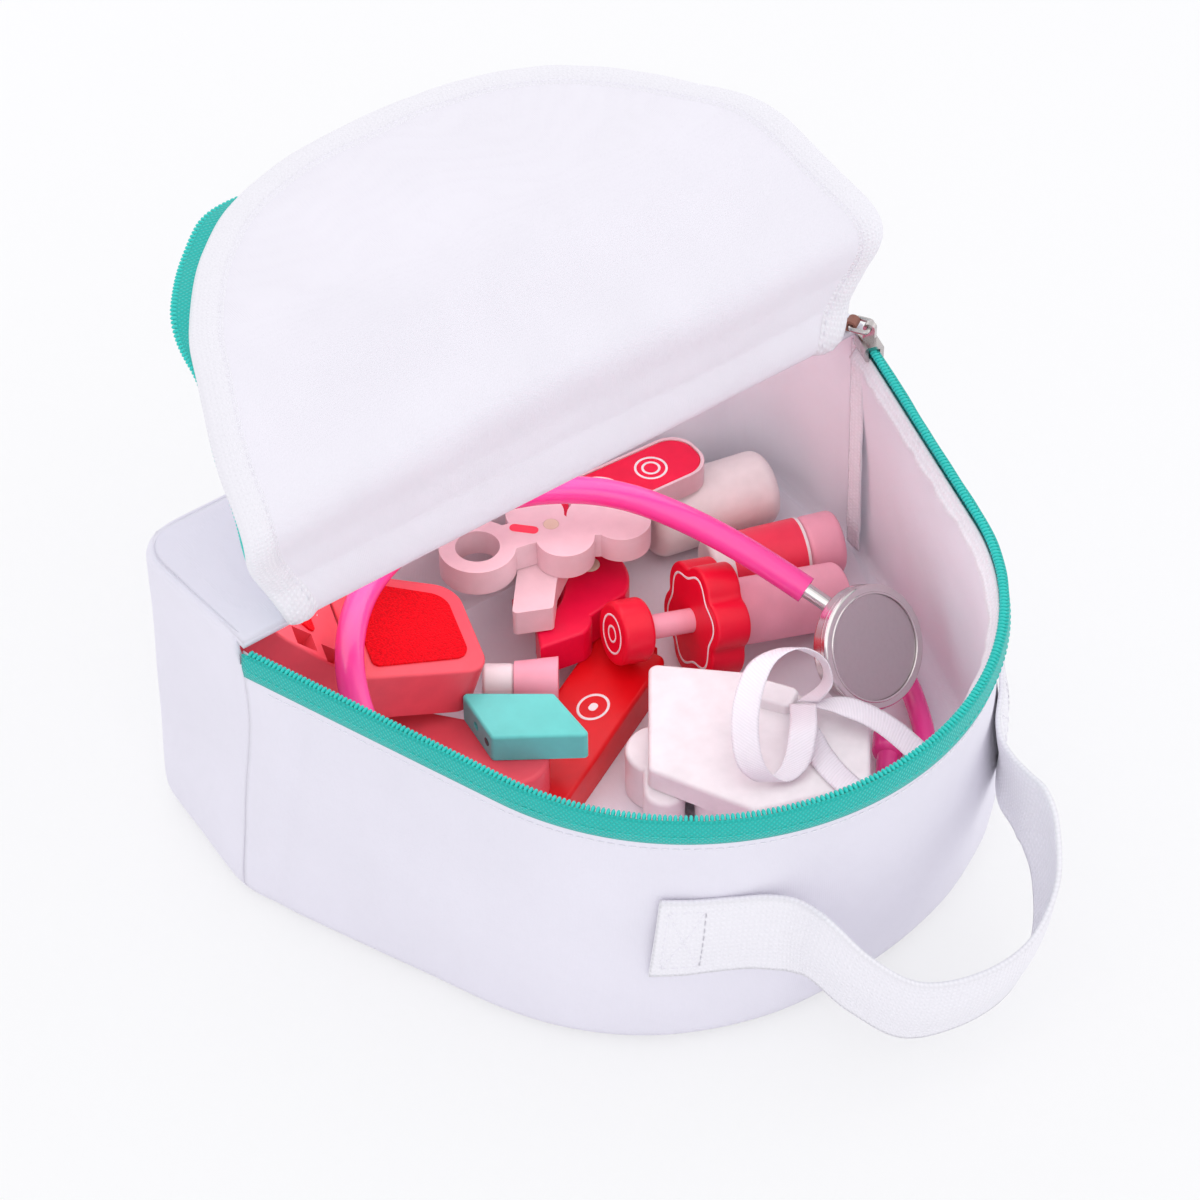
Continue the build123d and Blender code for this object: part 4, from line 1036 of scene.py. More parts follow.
@dataclass(frozen=True)
class CaseShell:
    """Cloth shell of the case: front, back, top behind the fold, seams and stitching. Millimetres."""
    outline: CaseOutline = field(default_factory=CaseOutline)
    thickness: float = 2.4
    front_top: float = 91.5
    back_top: float = 101.6
    edge_radius: float = 7.0
    top_radius: float = 3.0
    top_start: float = 0.4
    top_inset: float = 3.2
    crown: float = 1.6
    broad: Waves = Waves(1.25, 46.0, 1.0)
    fine: Waves = Waves(0.525, 15.0, 4.0)
    top_waves: Waves = Waves(0.7, 34.0, 7.0)
    dent: float = 1.9
    crease: float = 1.3
    softness: float = 5.0
    seam_width: float = 7.0
    seam_ends: Point = (6.0, 95.0)
    seam_lift: float = 0.9
    seam_crown: float = 0.5
    seam_lean: float = 0.16
    hem: float = 9.0
    hem_share: float = 0.03
    roll_share: float = 0.09
    wall_share: float = 0.95
    stitch_height: float = 86.5
    belly_ends: Point = (14.0, 84.0)
    slack: Table = (
        (-135, 0), (-110, 7), (-80, 9), (-45, 10), (-20, 7.5), (0, 5), (25, 7), (50, 10), (80, 8), (110, 4),
        (135, 0))

    def relief(self, spot: Vector) -> float:
        """How far the cloth stands out at a point of the wall.

        Args:
            spot: The point in millimetres.

        Returns:
            The waves, less the dent at the left seam and the crease in front of it, all calmed at the
            foot and at the rim, and the belly.
        """
        x, y, z = spot
        waves = self.broad.at(x, y, z) + self.fine.at(x, y, z * 0.45)
        dent = self.dent * bell(-118, 14, x) * bell(2, 8, y) \
            * smooth_step(6, 30, z) * (1 - 0.5 * smooth_step(60, 95, z))
        crease = self.crease * bell(-16, 4, y + 0.12 * (z - 50)) * smooth_step(-60, -110, x)
        calm = smooth_step(0, 10, z) * (1 - 0.8 * smooth_step(76, 88, z))
        return (waves - dent - crease) * calm + self.belly(spot)

    def belly(self, spot: Vector) -> float:
        """How far the slack cloth stands out low down, by the direction from the middle of the front."""
        heading = math.degrees(math.atan2(spot.x, -(spot.y + 45.0)))
        return interpolate(self.slack, heading) * (1 - smooth_step(*self.belly_ends, spot.z))

    def rise(self, share: float, top: float) -> tuple[float, float]:
        """Height and inward roll of the wall.

        Args:
            share: Share of its height: first the hem, then the rounded lower edge, then the wall.
            top: Where it ends.

        Returns:
            The height, and how far the point lies outside the plan.
        """
        if share < self.hem_share:
            return 0.0, -self.edge_radius - self.hem * (1 - share / self.hem_share)
        if share < self.roll_share:
            angle = (share - self.hem_share) / (self.roll_share - self.hem_share) * math.pi / 2
            return self.edge_radius * (1 - math.cos(angle)), -self.edge_radius * (1 - math.sin(angle))
        climbed = (share - self.roll_share) / (1 - self.roll_share)
        return self.edge_radius + (top - self.edge_radius) * climbed, 0.0

    def plan(self, share: float, z: float) -> tuple[Vector, Vector, float]:
        """Point of the softened plan, all the way round.

        Args:
            share: Share of the way, from the left end of the fold round the front and then the back.
            z: Height.

        Returns:
            The point, the outward direction, and how much it belongs to the back.
        """
        front, back = self.outline.front_length(z), self.outline.back_length()
        total = front + back
        spot, out, rear = Vector(), Vector(), 0.0
        for step in (-1.0, -0.5, 0.0, 0.5, 1.0):
            place = (share * total + step * self.softness) % total
            if place < front:
                point, way = self.outline.front(place / front, z)
            else:
                point, way = self.outline.back((place - front) / back, z)
                rear += 0.2
            spot, out = spot + point * 0.2, out + way * 0.2
        return spot, out.normalized(), rear

    def wall_place(self, share: float, height: float) -> Vector:
        """Point of the wall's cloth, which ends under the zip in front and is rounded over at the back.

        Args:
            share: Share of the way round.
            height: Share of the wall's height.

        Returns:
            The point in metres.
        """
        rear = self.plan(share, 60.0)[2]
        climb = smooth_step(0.5, 1.0, rear)
        top = self.front_top + (self.back_top - self.top_radius - self.front_top) * climb
        z, roll = self.rise(min(height / self.wall_share, 1.0), top)
        over = max(height - self.wall_share, 0.0) / (1 - self.wall_share)
        spot, out, _ = self.plan(share, z)
        spot.z = z + self.top_radius * math.sin(over * math.pi / 2) * climb
        roll -= self.top_radius * (1 - math.cos(over * math.pi / 2)) * climb
        return (spot + out * (roll + self.relief(spot) * (1 - over * climb))) * MM

    def top_place(self, share: float, depth: float) -> Vector:
        """Point of the strip of cloth behind the fold, slightly crowned.

        Args:
            share: Share of the width, from the left.
            depth: Share of the depth, from the fold.

        Returns:
            The point in metres.
        """
        corner, back = self.outline.corner, self.outline.back_y
        y = self.top_start + (back - self.top_radius - self.top_start) * depth
        inside = max(y - (back - corner), 0.0)
        round_half = math.sqrt(max(corner ** 2 - inside ** 2, 0.0))
        x = (2 * share - 1) * (self.outline.back_half - corner + round_half - self.top_inset)
        middle = math.sin(math.pi * min(max(depth, 0.0), 1.0))
        crown = self.crown * middle * (1 - (2 * share - 1) ** 8)
        return mm(x, y, self.back_top + crown + self.top_waves.at(x, y) * middle)

    def seam_strip(self, side: int) -> Place:
        """Points of the bound seam on the lining, where the front joins the back.

        Args:
            side: One for the right side, minus one for the left.

        Returns:
            The function that places the seam's points.
        """
        puckers = Waves(0.4, 9.0, side)

        def place(share: float, across: float) -> Vector:
            """Point of the seam, which leans with the wall in front of the fold.

            Args:
                share: Share of its length, from the foot.
                across: Share of its width, from the front.

            Returns:
                The point in metres.
            """
            foot, head = self.seam_ends
            z = foot + (head - foot) * share
            y = (across - 0.5) * self.seam_width
            half = self.outline.sizes(min(z, self.outline.mouth))[0]
            crown = self.seam_crown * abs(2 * across - 1)
            inward = self.thickness + self.seam_lift - crown + puckers.at(0, y, z)
            return mm(side * (half - inward + self.seam_lean * min(y, 0.0)), y, z)
        return place

    def stitch_line(self, share: float) -> tuple[Vector, Vector]:
        """Point and outward direction of the row of stitches under the rim."""
        spot, out = self.outline.front(0.02 + 0.96 * share, self.stitch_height)
        return spot + out * (self.relief(spot) + 0.12), out

    def build(self, frame: dict, finishes: Finishes) -> None:
        """Builds and dresses the shell.

        Args:
            frame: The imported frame.
            finishes: All finishes.
        """
        dress(frame["nodes"]["bottom_panel"], finishes.lining)
        around = (self.outline.front_length(50) + self.outline.back_length()) * MM
        wall = mapped_sheet(460, 64, self.wall_place, (around, 0.1))
        top = mapped_sheet(120, 30, self.top_place, (0.24, 0.06))
        for name, sheet, replaced in (("wall_cloth", wall, ("front_wall", "back_wall")),
                                      ("top_cloth", top, ("top_strip",))):
            piece = add_piece(sheet, name, finishes.cloth, "cloth_white")
            add_lining(piece, self.thickness, finishes.lining)
            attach(piece, Body.CASE.value)
            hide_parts(*replaced)
        for side, name in ((1, "right"), (-1, "left")):
            bm = mapped_sheet(60, 6, self.seam_strip(side), (0.09, self.seam_width * MM))
            strip = add_piece(bm, f"lining_seam_{name}", finishes.webbing, "webbing_white")
            add_thickness(strip, 0.5, 0.0)
            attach(strip, Body.CASE.value)
        span = self.outline.front_length(self.stitch_height)
        thread = StitchRow().build("rim_topstitch", self.stitch_line, span, finishes.thread, "cloth_white")
        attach(thread, Body.CASE.value)


# ---- the zip ------------------------------------------------------------------------------------
@dataclass(frozen=True)
class ZipTeeth:
    """Row of coil teeth. Millimetres."""
    pitch: float = 1.5
    width: float = 2.7
    height: float = 2.2
    thickness: float = 1.2

    def build(self, name: str, line: Callable[[float], tuple[Vector, Vector, Vector]], span: float,
              material: bpy.types.Material) -> bpy.types.Object:
        """Lays the teeth along a line.

        Args:
            name: Name of the piece.
            line: Gives the point, the direction across the row and the direction of its height.
            span: Length of the line.
            material: The teeth's material.

        Returns:
            The row of teeth.
        """
        bm = bmesh.new()
        count = int(span / self.pitch)
        for index in range(count):
            spot, across, rise = line((index + 0.5) / count)
            way = across.cross(rise).normalized()
            turn = Matrix((across * self.width / 2, way * self.thickness / 2,
                           rise * self.height / 2)).transposed()
            place = Matrix.Translation(spot * MM) @ (turn * MM).to_4x4()
            bmesh.ops.create_uvsphere(bm, u_segments=8, v_segments=5, radius=1.06,
                                      matrix=place @ Matrix.Rotation(math.pi / 2, 4, "X"))
        return add_piece(bm, name, material, "zip_teal")


@dataclass(frozen=True)
class BodyZip:
    """The zip's half on the case: tape, coil teeth, the folded edge inside and the stitching."""
    outline: CaseOutline = field(default_factory=CaseOutline)
    low: float = 89.2
    high: float = 98.3
    outside: float = 0.3
    swell: float = 0.5
    waves: Waves = Waves(0.35, 12.0, 9.0)
    coil_height: float = 97.9
    coil_inset: float = 1.5
    stitch_height: float = 92.8
    stitch_outside: float = 0.85
    frill: float = 5.5
    frill_height: float = 95.6
    frill_inset: Point = (2.6, 5.7)
    frill_waves: Waves = Waves(0.8, 6.5, 3.0)

    def rim(self, share: float, end: float) -> tuple[Vector, Vector]:
        """Point of the mouth and its outward direction, with a share left free at each end."""
        return self.outline.front(end + (1 - 2 * end) * share, self.outline.mouth)

    def tape_place(self, share: float, height: float) -> Vector:
        """Point of the tape, which swells a little where the coil is folded in.

        Args:
            share: Share of the way round the front.
            height: Share of the tape's width, from below.

        Returns:
            The point in metres.
        """
        z = self.low + (self.high - self.low) * height
        spot, out = self.outline.front(0.001 + 0.998 * share, min(z, self.outline.mouth))
        swell = self.swell * math.sin(math.pi * smooth_step(0.0, 1.0, height))
        wave = self.waves.at(spot.x, spot.y) * height
        return (Vector((spot.x, spot.y, z)) + out * (self.outside + swell + wave)) * MM

    def frill_place(self, share: float, depth: float) -> Vector:
        """Point of the white folded edge that lies inside the rim.

        Args:
            share: Share of the way round the front.
            depth: Share of the edge's width, from the rim.

        Returns:
            The point in metres.
        """
        spot, out = self.rim(share, 0.002)
        wave = self.frill_waves.at(spot.x, spot.y)
        near, far = self.frill_inset
        z = self.frill_height - (self.frill + 1.2 * wave) * depth
        return (Vector((spot.x, spot.y, z)) - out * (near + (far - near + wave) * depth)) * MM

    def coil_line(self, share: float) -> tuple[Vector, Vector, Vector]:
        """Line of the teeth along the rim."""
        spot, out = self.rim(share, 0.004)
        spot.z = self.coil_height
        return spot - out * self.coil_inset, out, Vector((0, 0, 1))

    def stitch_line(self, share: float) -> tuple[Vector, Vector]:
        """Row of stitches that holds the tape."""
        spot, out = self.rim(share, 0.004)
        spot.z = self.stitch_height
        return spot + out * self.stitch_outside, out

    def build(self, finishes: Finishes) -> None:
        """Builds the zip's half on the case.

        Args:
            finishes: All finishes.
        """
        span = self.outline.front_length(self.outline.mouth)
        tape = add_piece(mapped_sheet(300, 8, self.tape_place, (span * MM, 0.0086)), "case_zip_tape",
                         finishes.tape, "zip_teal")
        add_thickness(tape, 0.9)
        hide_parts("body_zip")
        frill = add_piece(mapped_sheet(300, 5, self.frill_place, (span * MM, 0.006)), "rim_inner_edge",
                          finishes.webbing, "webbing_white")
        add_thickness(frill, 0.6, 0.0)
        teeth = ZipTeeth().build("case_zip_teeth", self.coil_line, span, finishes.coil)
        thread = StitchRow(2.6, 1.9, 0.4).build("case_zip_stitches", self.stitch_line, span, finishes.coil,
                                                "zip_teal")
        for piece in (tape, frill, teeth, thread):
            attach(piece, Body.CASE.value)


# ---- the lid ------------------------------------------------------------------------------------
@dataclass(frozen=True)
class Crease:
    """Where the soft lid bends: its hinge, the stretch that turns and the angle that it stands open by."""
    hinge: float
    start: float
    end: float
    angle: float


@dataclass(frozen=True)
class LidSpan:
    """One stretch of the lid, which turns at one crease and lies between two bodies. Distances from the fold,
    millimetres.
    """
    name: str
    low: float
    high: float
    before: Body
    after: Body
    crease: int
    panels: tuple[str, ...]
    zips: tuple[str, ...]
    bindings: tuple[str, ...]

    def is_tip(self) -> bool:
        """Whether the stretch goes round the lid's tip."""
        return self.after is Body.LID_TIP


@dataclass(frozen=True)
class Lid:
    """The lid: two cloths, a woven binding round the lining, zip tape and teeth. Millimetres.

    It is cut and sewn flat, as it lies when the case is shut, and then opened crease by crease about
    the model's own hinges.
    """
    fold_height: float = 102.85
    creases: tuple[Crease, ...] = (Crease(0.0, 0.0, 16.0, 81.0), Crease(45.0, 25.0, 65.0, 63.0),
                                   Crease(95.0, 74.0, 116.0, 32.0))
    edge: Table = (
        (102, 0), (109, 16), (115, 30), (117, 44), (115, 58), (110.5, 75), (105, 92), (98, 108), (87, 124),
        (75, 137), (58, 149), (32, 157.5), (0, 160))
    thickness: float = 2.2
    binding: float = 8.5
    tape: float = 6.6
    trim_thickness: float = 0.8
    bow: float = 5.0
    bow_half: float = 108.0
    side_drop: float = 2.6
    drop_half: float = 112.0
    setback: float = 0.6
    blunt: float = 0.49
    broad: Waves = Waves(2.0, 52.0, 2.0)
    fine: Waves = Waves(0.9, 19.0, 6.0)
    binding_waves: Waves = Waves(0.35, 8.0, 5.0)
    tape_waves: Waves = Waves(0.8, 14.0)
    tape_fold: float = 5.2
    tape_tuck: float = 0.6
    tape_drop: float = 1.2
    spans: tuple[LidSpan, ...] = (
        LidSpan("root", 0.0, 22.0, Body.CASE, Body.LID_ROOT, 0, ("lid_panel_root",), (),
                ("lid_binding_root",)),
        LidSpan("middle", 22.0, 70.0, Body.LID_ROOT, Body.LID_MIDDLE, 1, ("lid_panel_middle",),
                ("lid_zip_middle",), ("lid_binding_middle",)),
        LidSpan("tip", 70.0, 160.0, Body.LID_MIDDLE, Body.LID_TIP, 2, ("lid_panel_tip",), ("lid_zip_tip",),
                ("lid_binding_tip",)),
    )

    @cached_property
    def rim(self) -> Path:
        """The plan's edge from the left end of the fold round to the right."""
        left = [(-x, s) for x, s in self.edge]
        return Path(left + list(reversed(self.edge[:-1])))

    def opened(self, flat: Vector, index: int, share: float) -> Vector:
        """Opens a point of the flat lid.

        Args:
            flat: The point on the shut lid.
            index: The crease that it bends at.
            share: Share of that crease's angle; the creases before it are open all the way.

        Returns:
            The point on the open lid.
        """
        y, z = flat.y, flat.z
        for place in range(index, -1, -1):
            crease = self.creases[place]
            angle = -math.radians(crease.angle) * (share if place == index else 1.0)
            along, above = y + crease.hinge, z - self.fold_height
            y = along * math.cos(angle) - above * math.sin(angle) - crease.hinge
            z = along * math.sin(angle) + above * math.cos(angle) + self.fold_height
        return Vector((flat.x, y, z))

    def ends(self, index: int) -> tuple[Vector, Vector]:
        """Start and end of the turning stretch at a crease, on the open lid.

        Args:
            index: The crease.

        Returns:
            The two points in millimetres.
        """
        crease = self.creases[index]
        start = self.opened(Vector((0, -crease.start, self.fold_height)), index, 0.0)
        if crease.start == crease.hinge:
            half = math.radians(crease.angle / 2)
            reach = crease.end * math.cos(half)
            return start, start + Vector((0, -math.cos(half), math.sin(half))) * reach
        return start, self.opened(Vector((0, -crease.end, self.fold_height)), index, 1.0)

    def opened_softly(self, flat: Vector) -> Vector:
        """Opens a point of the flat lid, with the turn at its crease spread smoothly.

        How far a point turns depends on where it ends up, so the share is found in rounds, each of
        which takes it most of the way to the one that the turned point asks for.

        Args:
            flat: The point on the shut lid.

        Returns:
            The point on the open lid.
        """
        index = sum(1 for span in self.spans[1:] if -flat.y > span.low)
        start, end = self.ends(index)
        way = (end - start) / (end - start).length_squared
        share, rounds, trust = 0.5, 14, 0.8
        for _ in range(rounds):
            reached = (self.opened(flat, index, share) - start).dot(way)
            share += trust * (smooth_step(0.0, 1.0, reached) - share)
        return self.opened(flat, index, share)

    def bend(self, x: float, s: float, lift: float = 0.0) -> Vector:
        """Place of a point of the lid.

        Args:
            x: Distance across.
            s: Distance from the fold.
            lift: Distance above the lining, towards whoever looks into the case.

        Returns:
            The point in millimetres.
        """
        beside = abs(x) / max(self.half_width(s), 1.0)
        waves = self.broad.at(x, s) + self.fine.at(x, s * 0.6, 5)
        wave = waves * smooth_step(4, 40, s) * (1 - 0.85 * smooth_step(0.72, 0.95, beside))
        bow = self.bow * max(1 - (x / self.bow_half) ** 2, 0.0) \
            * smooth_step(12, 44, s) * (1 - smooth_step(48, 92, s))
        back = self.setback * smooth_step(4, 30, s)
        drop = self.side_drop * (x / self.drop_half) ** 2 * smooth_step(60, 110, s)
        return self.opened_softly(Vector((x, -s, self.fold_height - lift - wave + bow + back + drop)))

    def half_width(self, s: float) -> float:
        """Half width of the lid at a distance from the fold."""
        return interpolate([(place, half) for half, place in self.edge], s)

    def edge_share(self, s: float) -> float:
        """Share of the edge's length where its left side is at a distance from the fold.

        Args:
            s: Distance from the fold.

        Returns:
            The share, up to a half.
        """
        low, high = 0.0, 0.5
        for _ in range(40):
            middle = (low + high) / 2
            if self.rim.at(middle).y < s:
                low = middle
            else:
                high = middle
        return (low + high) / 2

    def strips(self, span: LidSpan) -> list[tuple[str, float, float]]:
        """The parts of the edge in a span: one each side, or one round the tip.

        Args:
            span: The span.

        Returns:
            The side of each strip, with the shares of the edge where it starts and ends.
        """
        low, high = self.edge_share(span.low), self.edge_share(span.high)
        if span.is_tip():
            return [("", low, 1.0 - low)]
        return [("_left", low, high), ("_right", 1.0 - high, 1.0 - low)]

    def rim_point(self, share: float, outward: float, lift: float) -> Vector:
        """Point beside the lid's edge.

        Args:
            share: Share of the edge's length.
            outward: Distance outside the edge.
            lift: Distance above the lining.

        Returns:
            The point in millimetres.
        """
        way = self.rim.way(share)
        spot = self.rim.at(share) + Vector((-way.y, way.x)) * outward
        return self.bend(spot.x, spot.y, lift)

    def settle(self, piece: bpy.types.Object, span: LidSpan) -> None:
        """Bakes a piece's placement into its mesh."""
        start, end = self.ends(span.crease)
        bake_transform(piece)

    def cloth(self, span: LidSpan) -> Place:
        """Points of one cloth sheet of the lid, whose rows lie closer together where the tip rounds off.

        Args:
            span: The span.

        Returns:
            The function that places the sheet's points.
        """
        low, high = self.edge_share(span.low), min(self.edge_share(span.high), self.blunt)

        def place(across: float, along: float) -> Vector:
            """Point of the sheet, from its left side to its right.

            Args:
                across: Share of the width, from the left.
                along: Share of the way out from the fold.

            Returns:
                The point in metres.
            """
            reach = math.sin(along * math.pi / 2) if span.is_tip() else along
            side = self.rim.at(low + (high - low) * reach)
            return self.bend(side.x * (1 - 2 * across), side.y) * MM
        return place

    def band(self, low: float, high: float, section: Callable[[float, float], Point]) -> Place:
        """Points of a band beside the edge.

        Args:
            low: Share of the edge where the band starts.
            high: Share where it ends.
            section: Gives the distance outside the edge and the lift for a share across and along.

        Returns:
            The function that places the band's points.
        """
        def place(along: float, across: float) -> Vector:
            """Point of the band.

            Args:
                along: Share of the length.
                across: Share of the width.

            Returns:
                The point in metres.
            """
            share = low + (high - low) * along
            return self.rim_point(share, *section(across, share)) * MM
        return place

    def binding_section(self, across: float, share: float) -> Point:
        """Section of the binding, which is folded over the edge from the lining to the back.

        Args:
            across: Share of its width: first on the lining, then round the edge, then on the back.
            share: Share of the edge's length.

        Returns:
            The distance outside the edge and the lift.
        """
        turn_start, turn_end, overhang = 0.6, 0.8, 0.4
        flat = self.rim.at(share)
        wave = self.binding_waves.at(flat.x, flat.y)
        if across < turn_start:
            part = across / turn_start
            puff = 1.2 * math.sin(math.pi * part)
            return -self.binding + (self.binding + overhang) * part, -0.6 + (0.95 + wave) * part + puff
        if across < turn_end:
            part = (across - turn_start) / (turn_end - turn_start)
            fall = (self.thickness + 1.0) * (1 - math.cos(part * math.pi)) / 2
            return overhang + 1.1 * math.sin(part * math.pi), (0.35 + wave) * (1 - part) - fall
        part = (across - turn_end) / (1 - turn_end)
        return overhang - 7.0 * part, -self.thickness - 0.9 - 0.4 * math.sin(math.pi * part)

    def tape_section(self, across: float, share: float) -> Point:
        """Section of the tape, which is folded back behind the lining except where it flares.

        Args:
            across: Share of its width.
            share: Share of the edge's length.

        Returns:
            The distance outside the edge and the lift.
        """
        flat, flare = self.rim.at(share), self.flare(share)
        outward = (self.tape + self.tape_tuck) * across * (0.02 + 0.98 * flare) - self.tape_tuck
        fall = self.tape_fold * (1 - flare) + self.tape_waves.at(flat.x, flat.y, 3)
        return outward, -self.tape_drop - across * fall

    def flare(self, share: float) -> float:
        """How far the tape stands out beside the lid: most on the left, where it hangs free."""
        return smooth_step(0.2, 0.28, share) * (1 - smooth_step(0.35, 0.43, share))

    def teeth_line(self, low: float, high: float) -> Callable[[float], tuple[Vector, Vector, Vector]]:
        """Line of the teeth along the tape's outer edge, for a strip of the edge.

        Args:
            low: Share of the edge where the strip starts.
            high: Share where it ends.

        Returns:
            The function that gives the point, the direction across and the height.
        """
        def line(share: float) -> tuple[Vector, Vector, Vector]:
            """Point, direction across the row and direction of its height.

            Args:
                share: Share of the strip.

            Returns:
                The three vectors.
            """
            at = low + (high - low) * share
            inside, outside = (self.rim_point(at, *self.tape_section(across, at)) for across in (0.6, 1.0))
            before, after = (self.rim_point(min(max(at + step, 0.0), 1.0), 0.0, -self.tape_drop)
                             for step in (-0.002, 0.002))
            ahead = after - before
            across = (outside - inside).normalized()
            return outside, across, ahead.normalized().cross(across).normalized()
        return line

    def seam_line(self, low: float, high: float) -> Callable[[float], tuple[Vector, Vector]]:
        """Line of the stitches along the binding's inner edge, for a strip of the edge.

        Args:
            low: Share of the edge where the strip starts.
            high: Share where it ends.

        Returns:
            The function that gives the point and the outward direction.
        """
        def line(share: float) -> tuple[Vector, Vector]:
            """Point and outward direction.

            Args:
                share: Share of the strip.

            Returns:
                The point and the direction.
            """
            at = low + (high - low) * share
            spot, above = (self.rim_point(at, -self.binding + 1.1, lift) for lift in (1.15, 3.0))
            return spot, (above - spot).normalized()
        return line

    def build_trim(self, span: LidSpan, side: str, low: float, high: float, finishes: Finishes) -> None:
        """Builds the binding, the tape, the teeth and the stitches of one strip of the edge.

        Args:
            span: The span that it lies in.
            side: Its side, as the pieces' names give it.
            low: Share of the edge where the strip starts.
            high: Share where it ends.
            finishes: All finishes.
        """
        length = (high - low) * self.rim.length
        columns = max(int(length / 2.0), 8)
        sheet = mapped_sheet(columns, 20, self.band(low, high, self.binding_section), (length * MM, 0.02))
        binding = add_piece(sheet, f"lid_binding{side}_{span.name}", finishes.webbing, "webbing_white")
        add_thickness(binding, self.trim_thickness, 0.0, False)
        sheet = mapped_sheet(columns, 5, self.band(low, high, self.tape_section), (length * MM, 0.006))
        tape = add_piece(sheet, f"lid_zip_tape{side}_{span.name}", finishes.tape, "zip_teal")
        add_thickness(tape, self.trim_thickness, 0.0)
        teeth = ZipTeeth(width=2.2, height=1.5).build(
            f"lid_zip_teeth{side}_{span.name}", self.teeth_line(low, high), length, finishes.coil)
        thread = StitchRow(2.8, 2.1, 0.4).build(
            f"lid_stitches{side}_{span.name}", self.seam_line(low, high), length, finishes.thread,
            "webbing_white")
        for piece in (binding, tape, teeth, thread):
            self.settle(piece, span)
        if side != "_left":
            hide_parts(*span.bindings)
            if span.zips:
                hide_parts(*span.zips)

    def build_span(self, span: LidSpan, finishes: Finishes) -> None:
        """Builds everything in one span of the lid.

        Args:
            span: The span.
            finishes: All finishes.
        """
        rows = 50 if span.is_tip() else 26
        sheet = add_piece(mapped_sheet(110, rows, self.cloth(span), (0.23, 0.09)), f"lid_cloth_{span.name}",
                          finishes.lining, "lining_white")
        add_lining(sheet, self.thickness, finishes.cloth, closed=False)
        self.settle(sheet, span)
        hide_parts(*span.panels)
        for side, low, high in self.strips(span):
            self.build_trim(span, side, low, high, finishes)

    def build(self, finishes: Finishes) -> None:
        """Builds the lid span by span."""
        for span in self.spans:
            self.build_span(span, finishes)


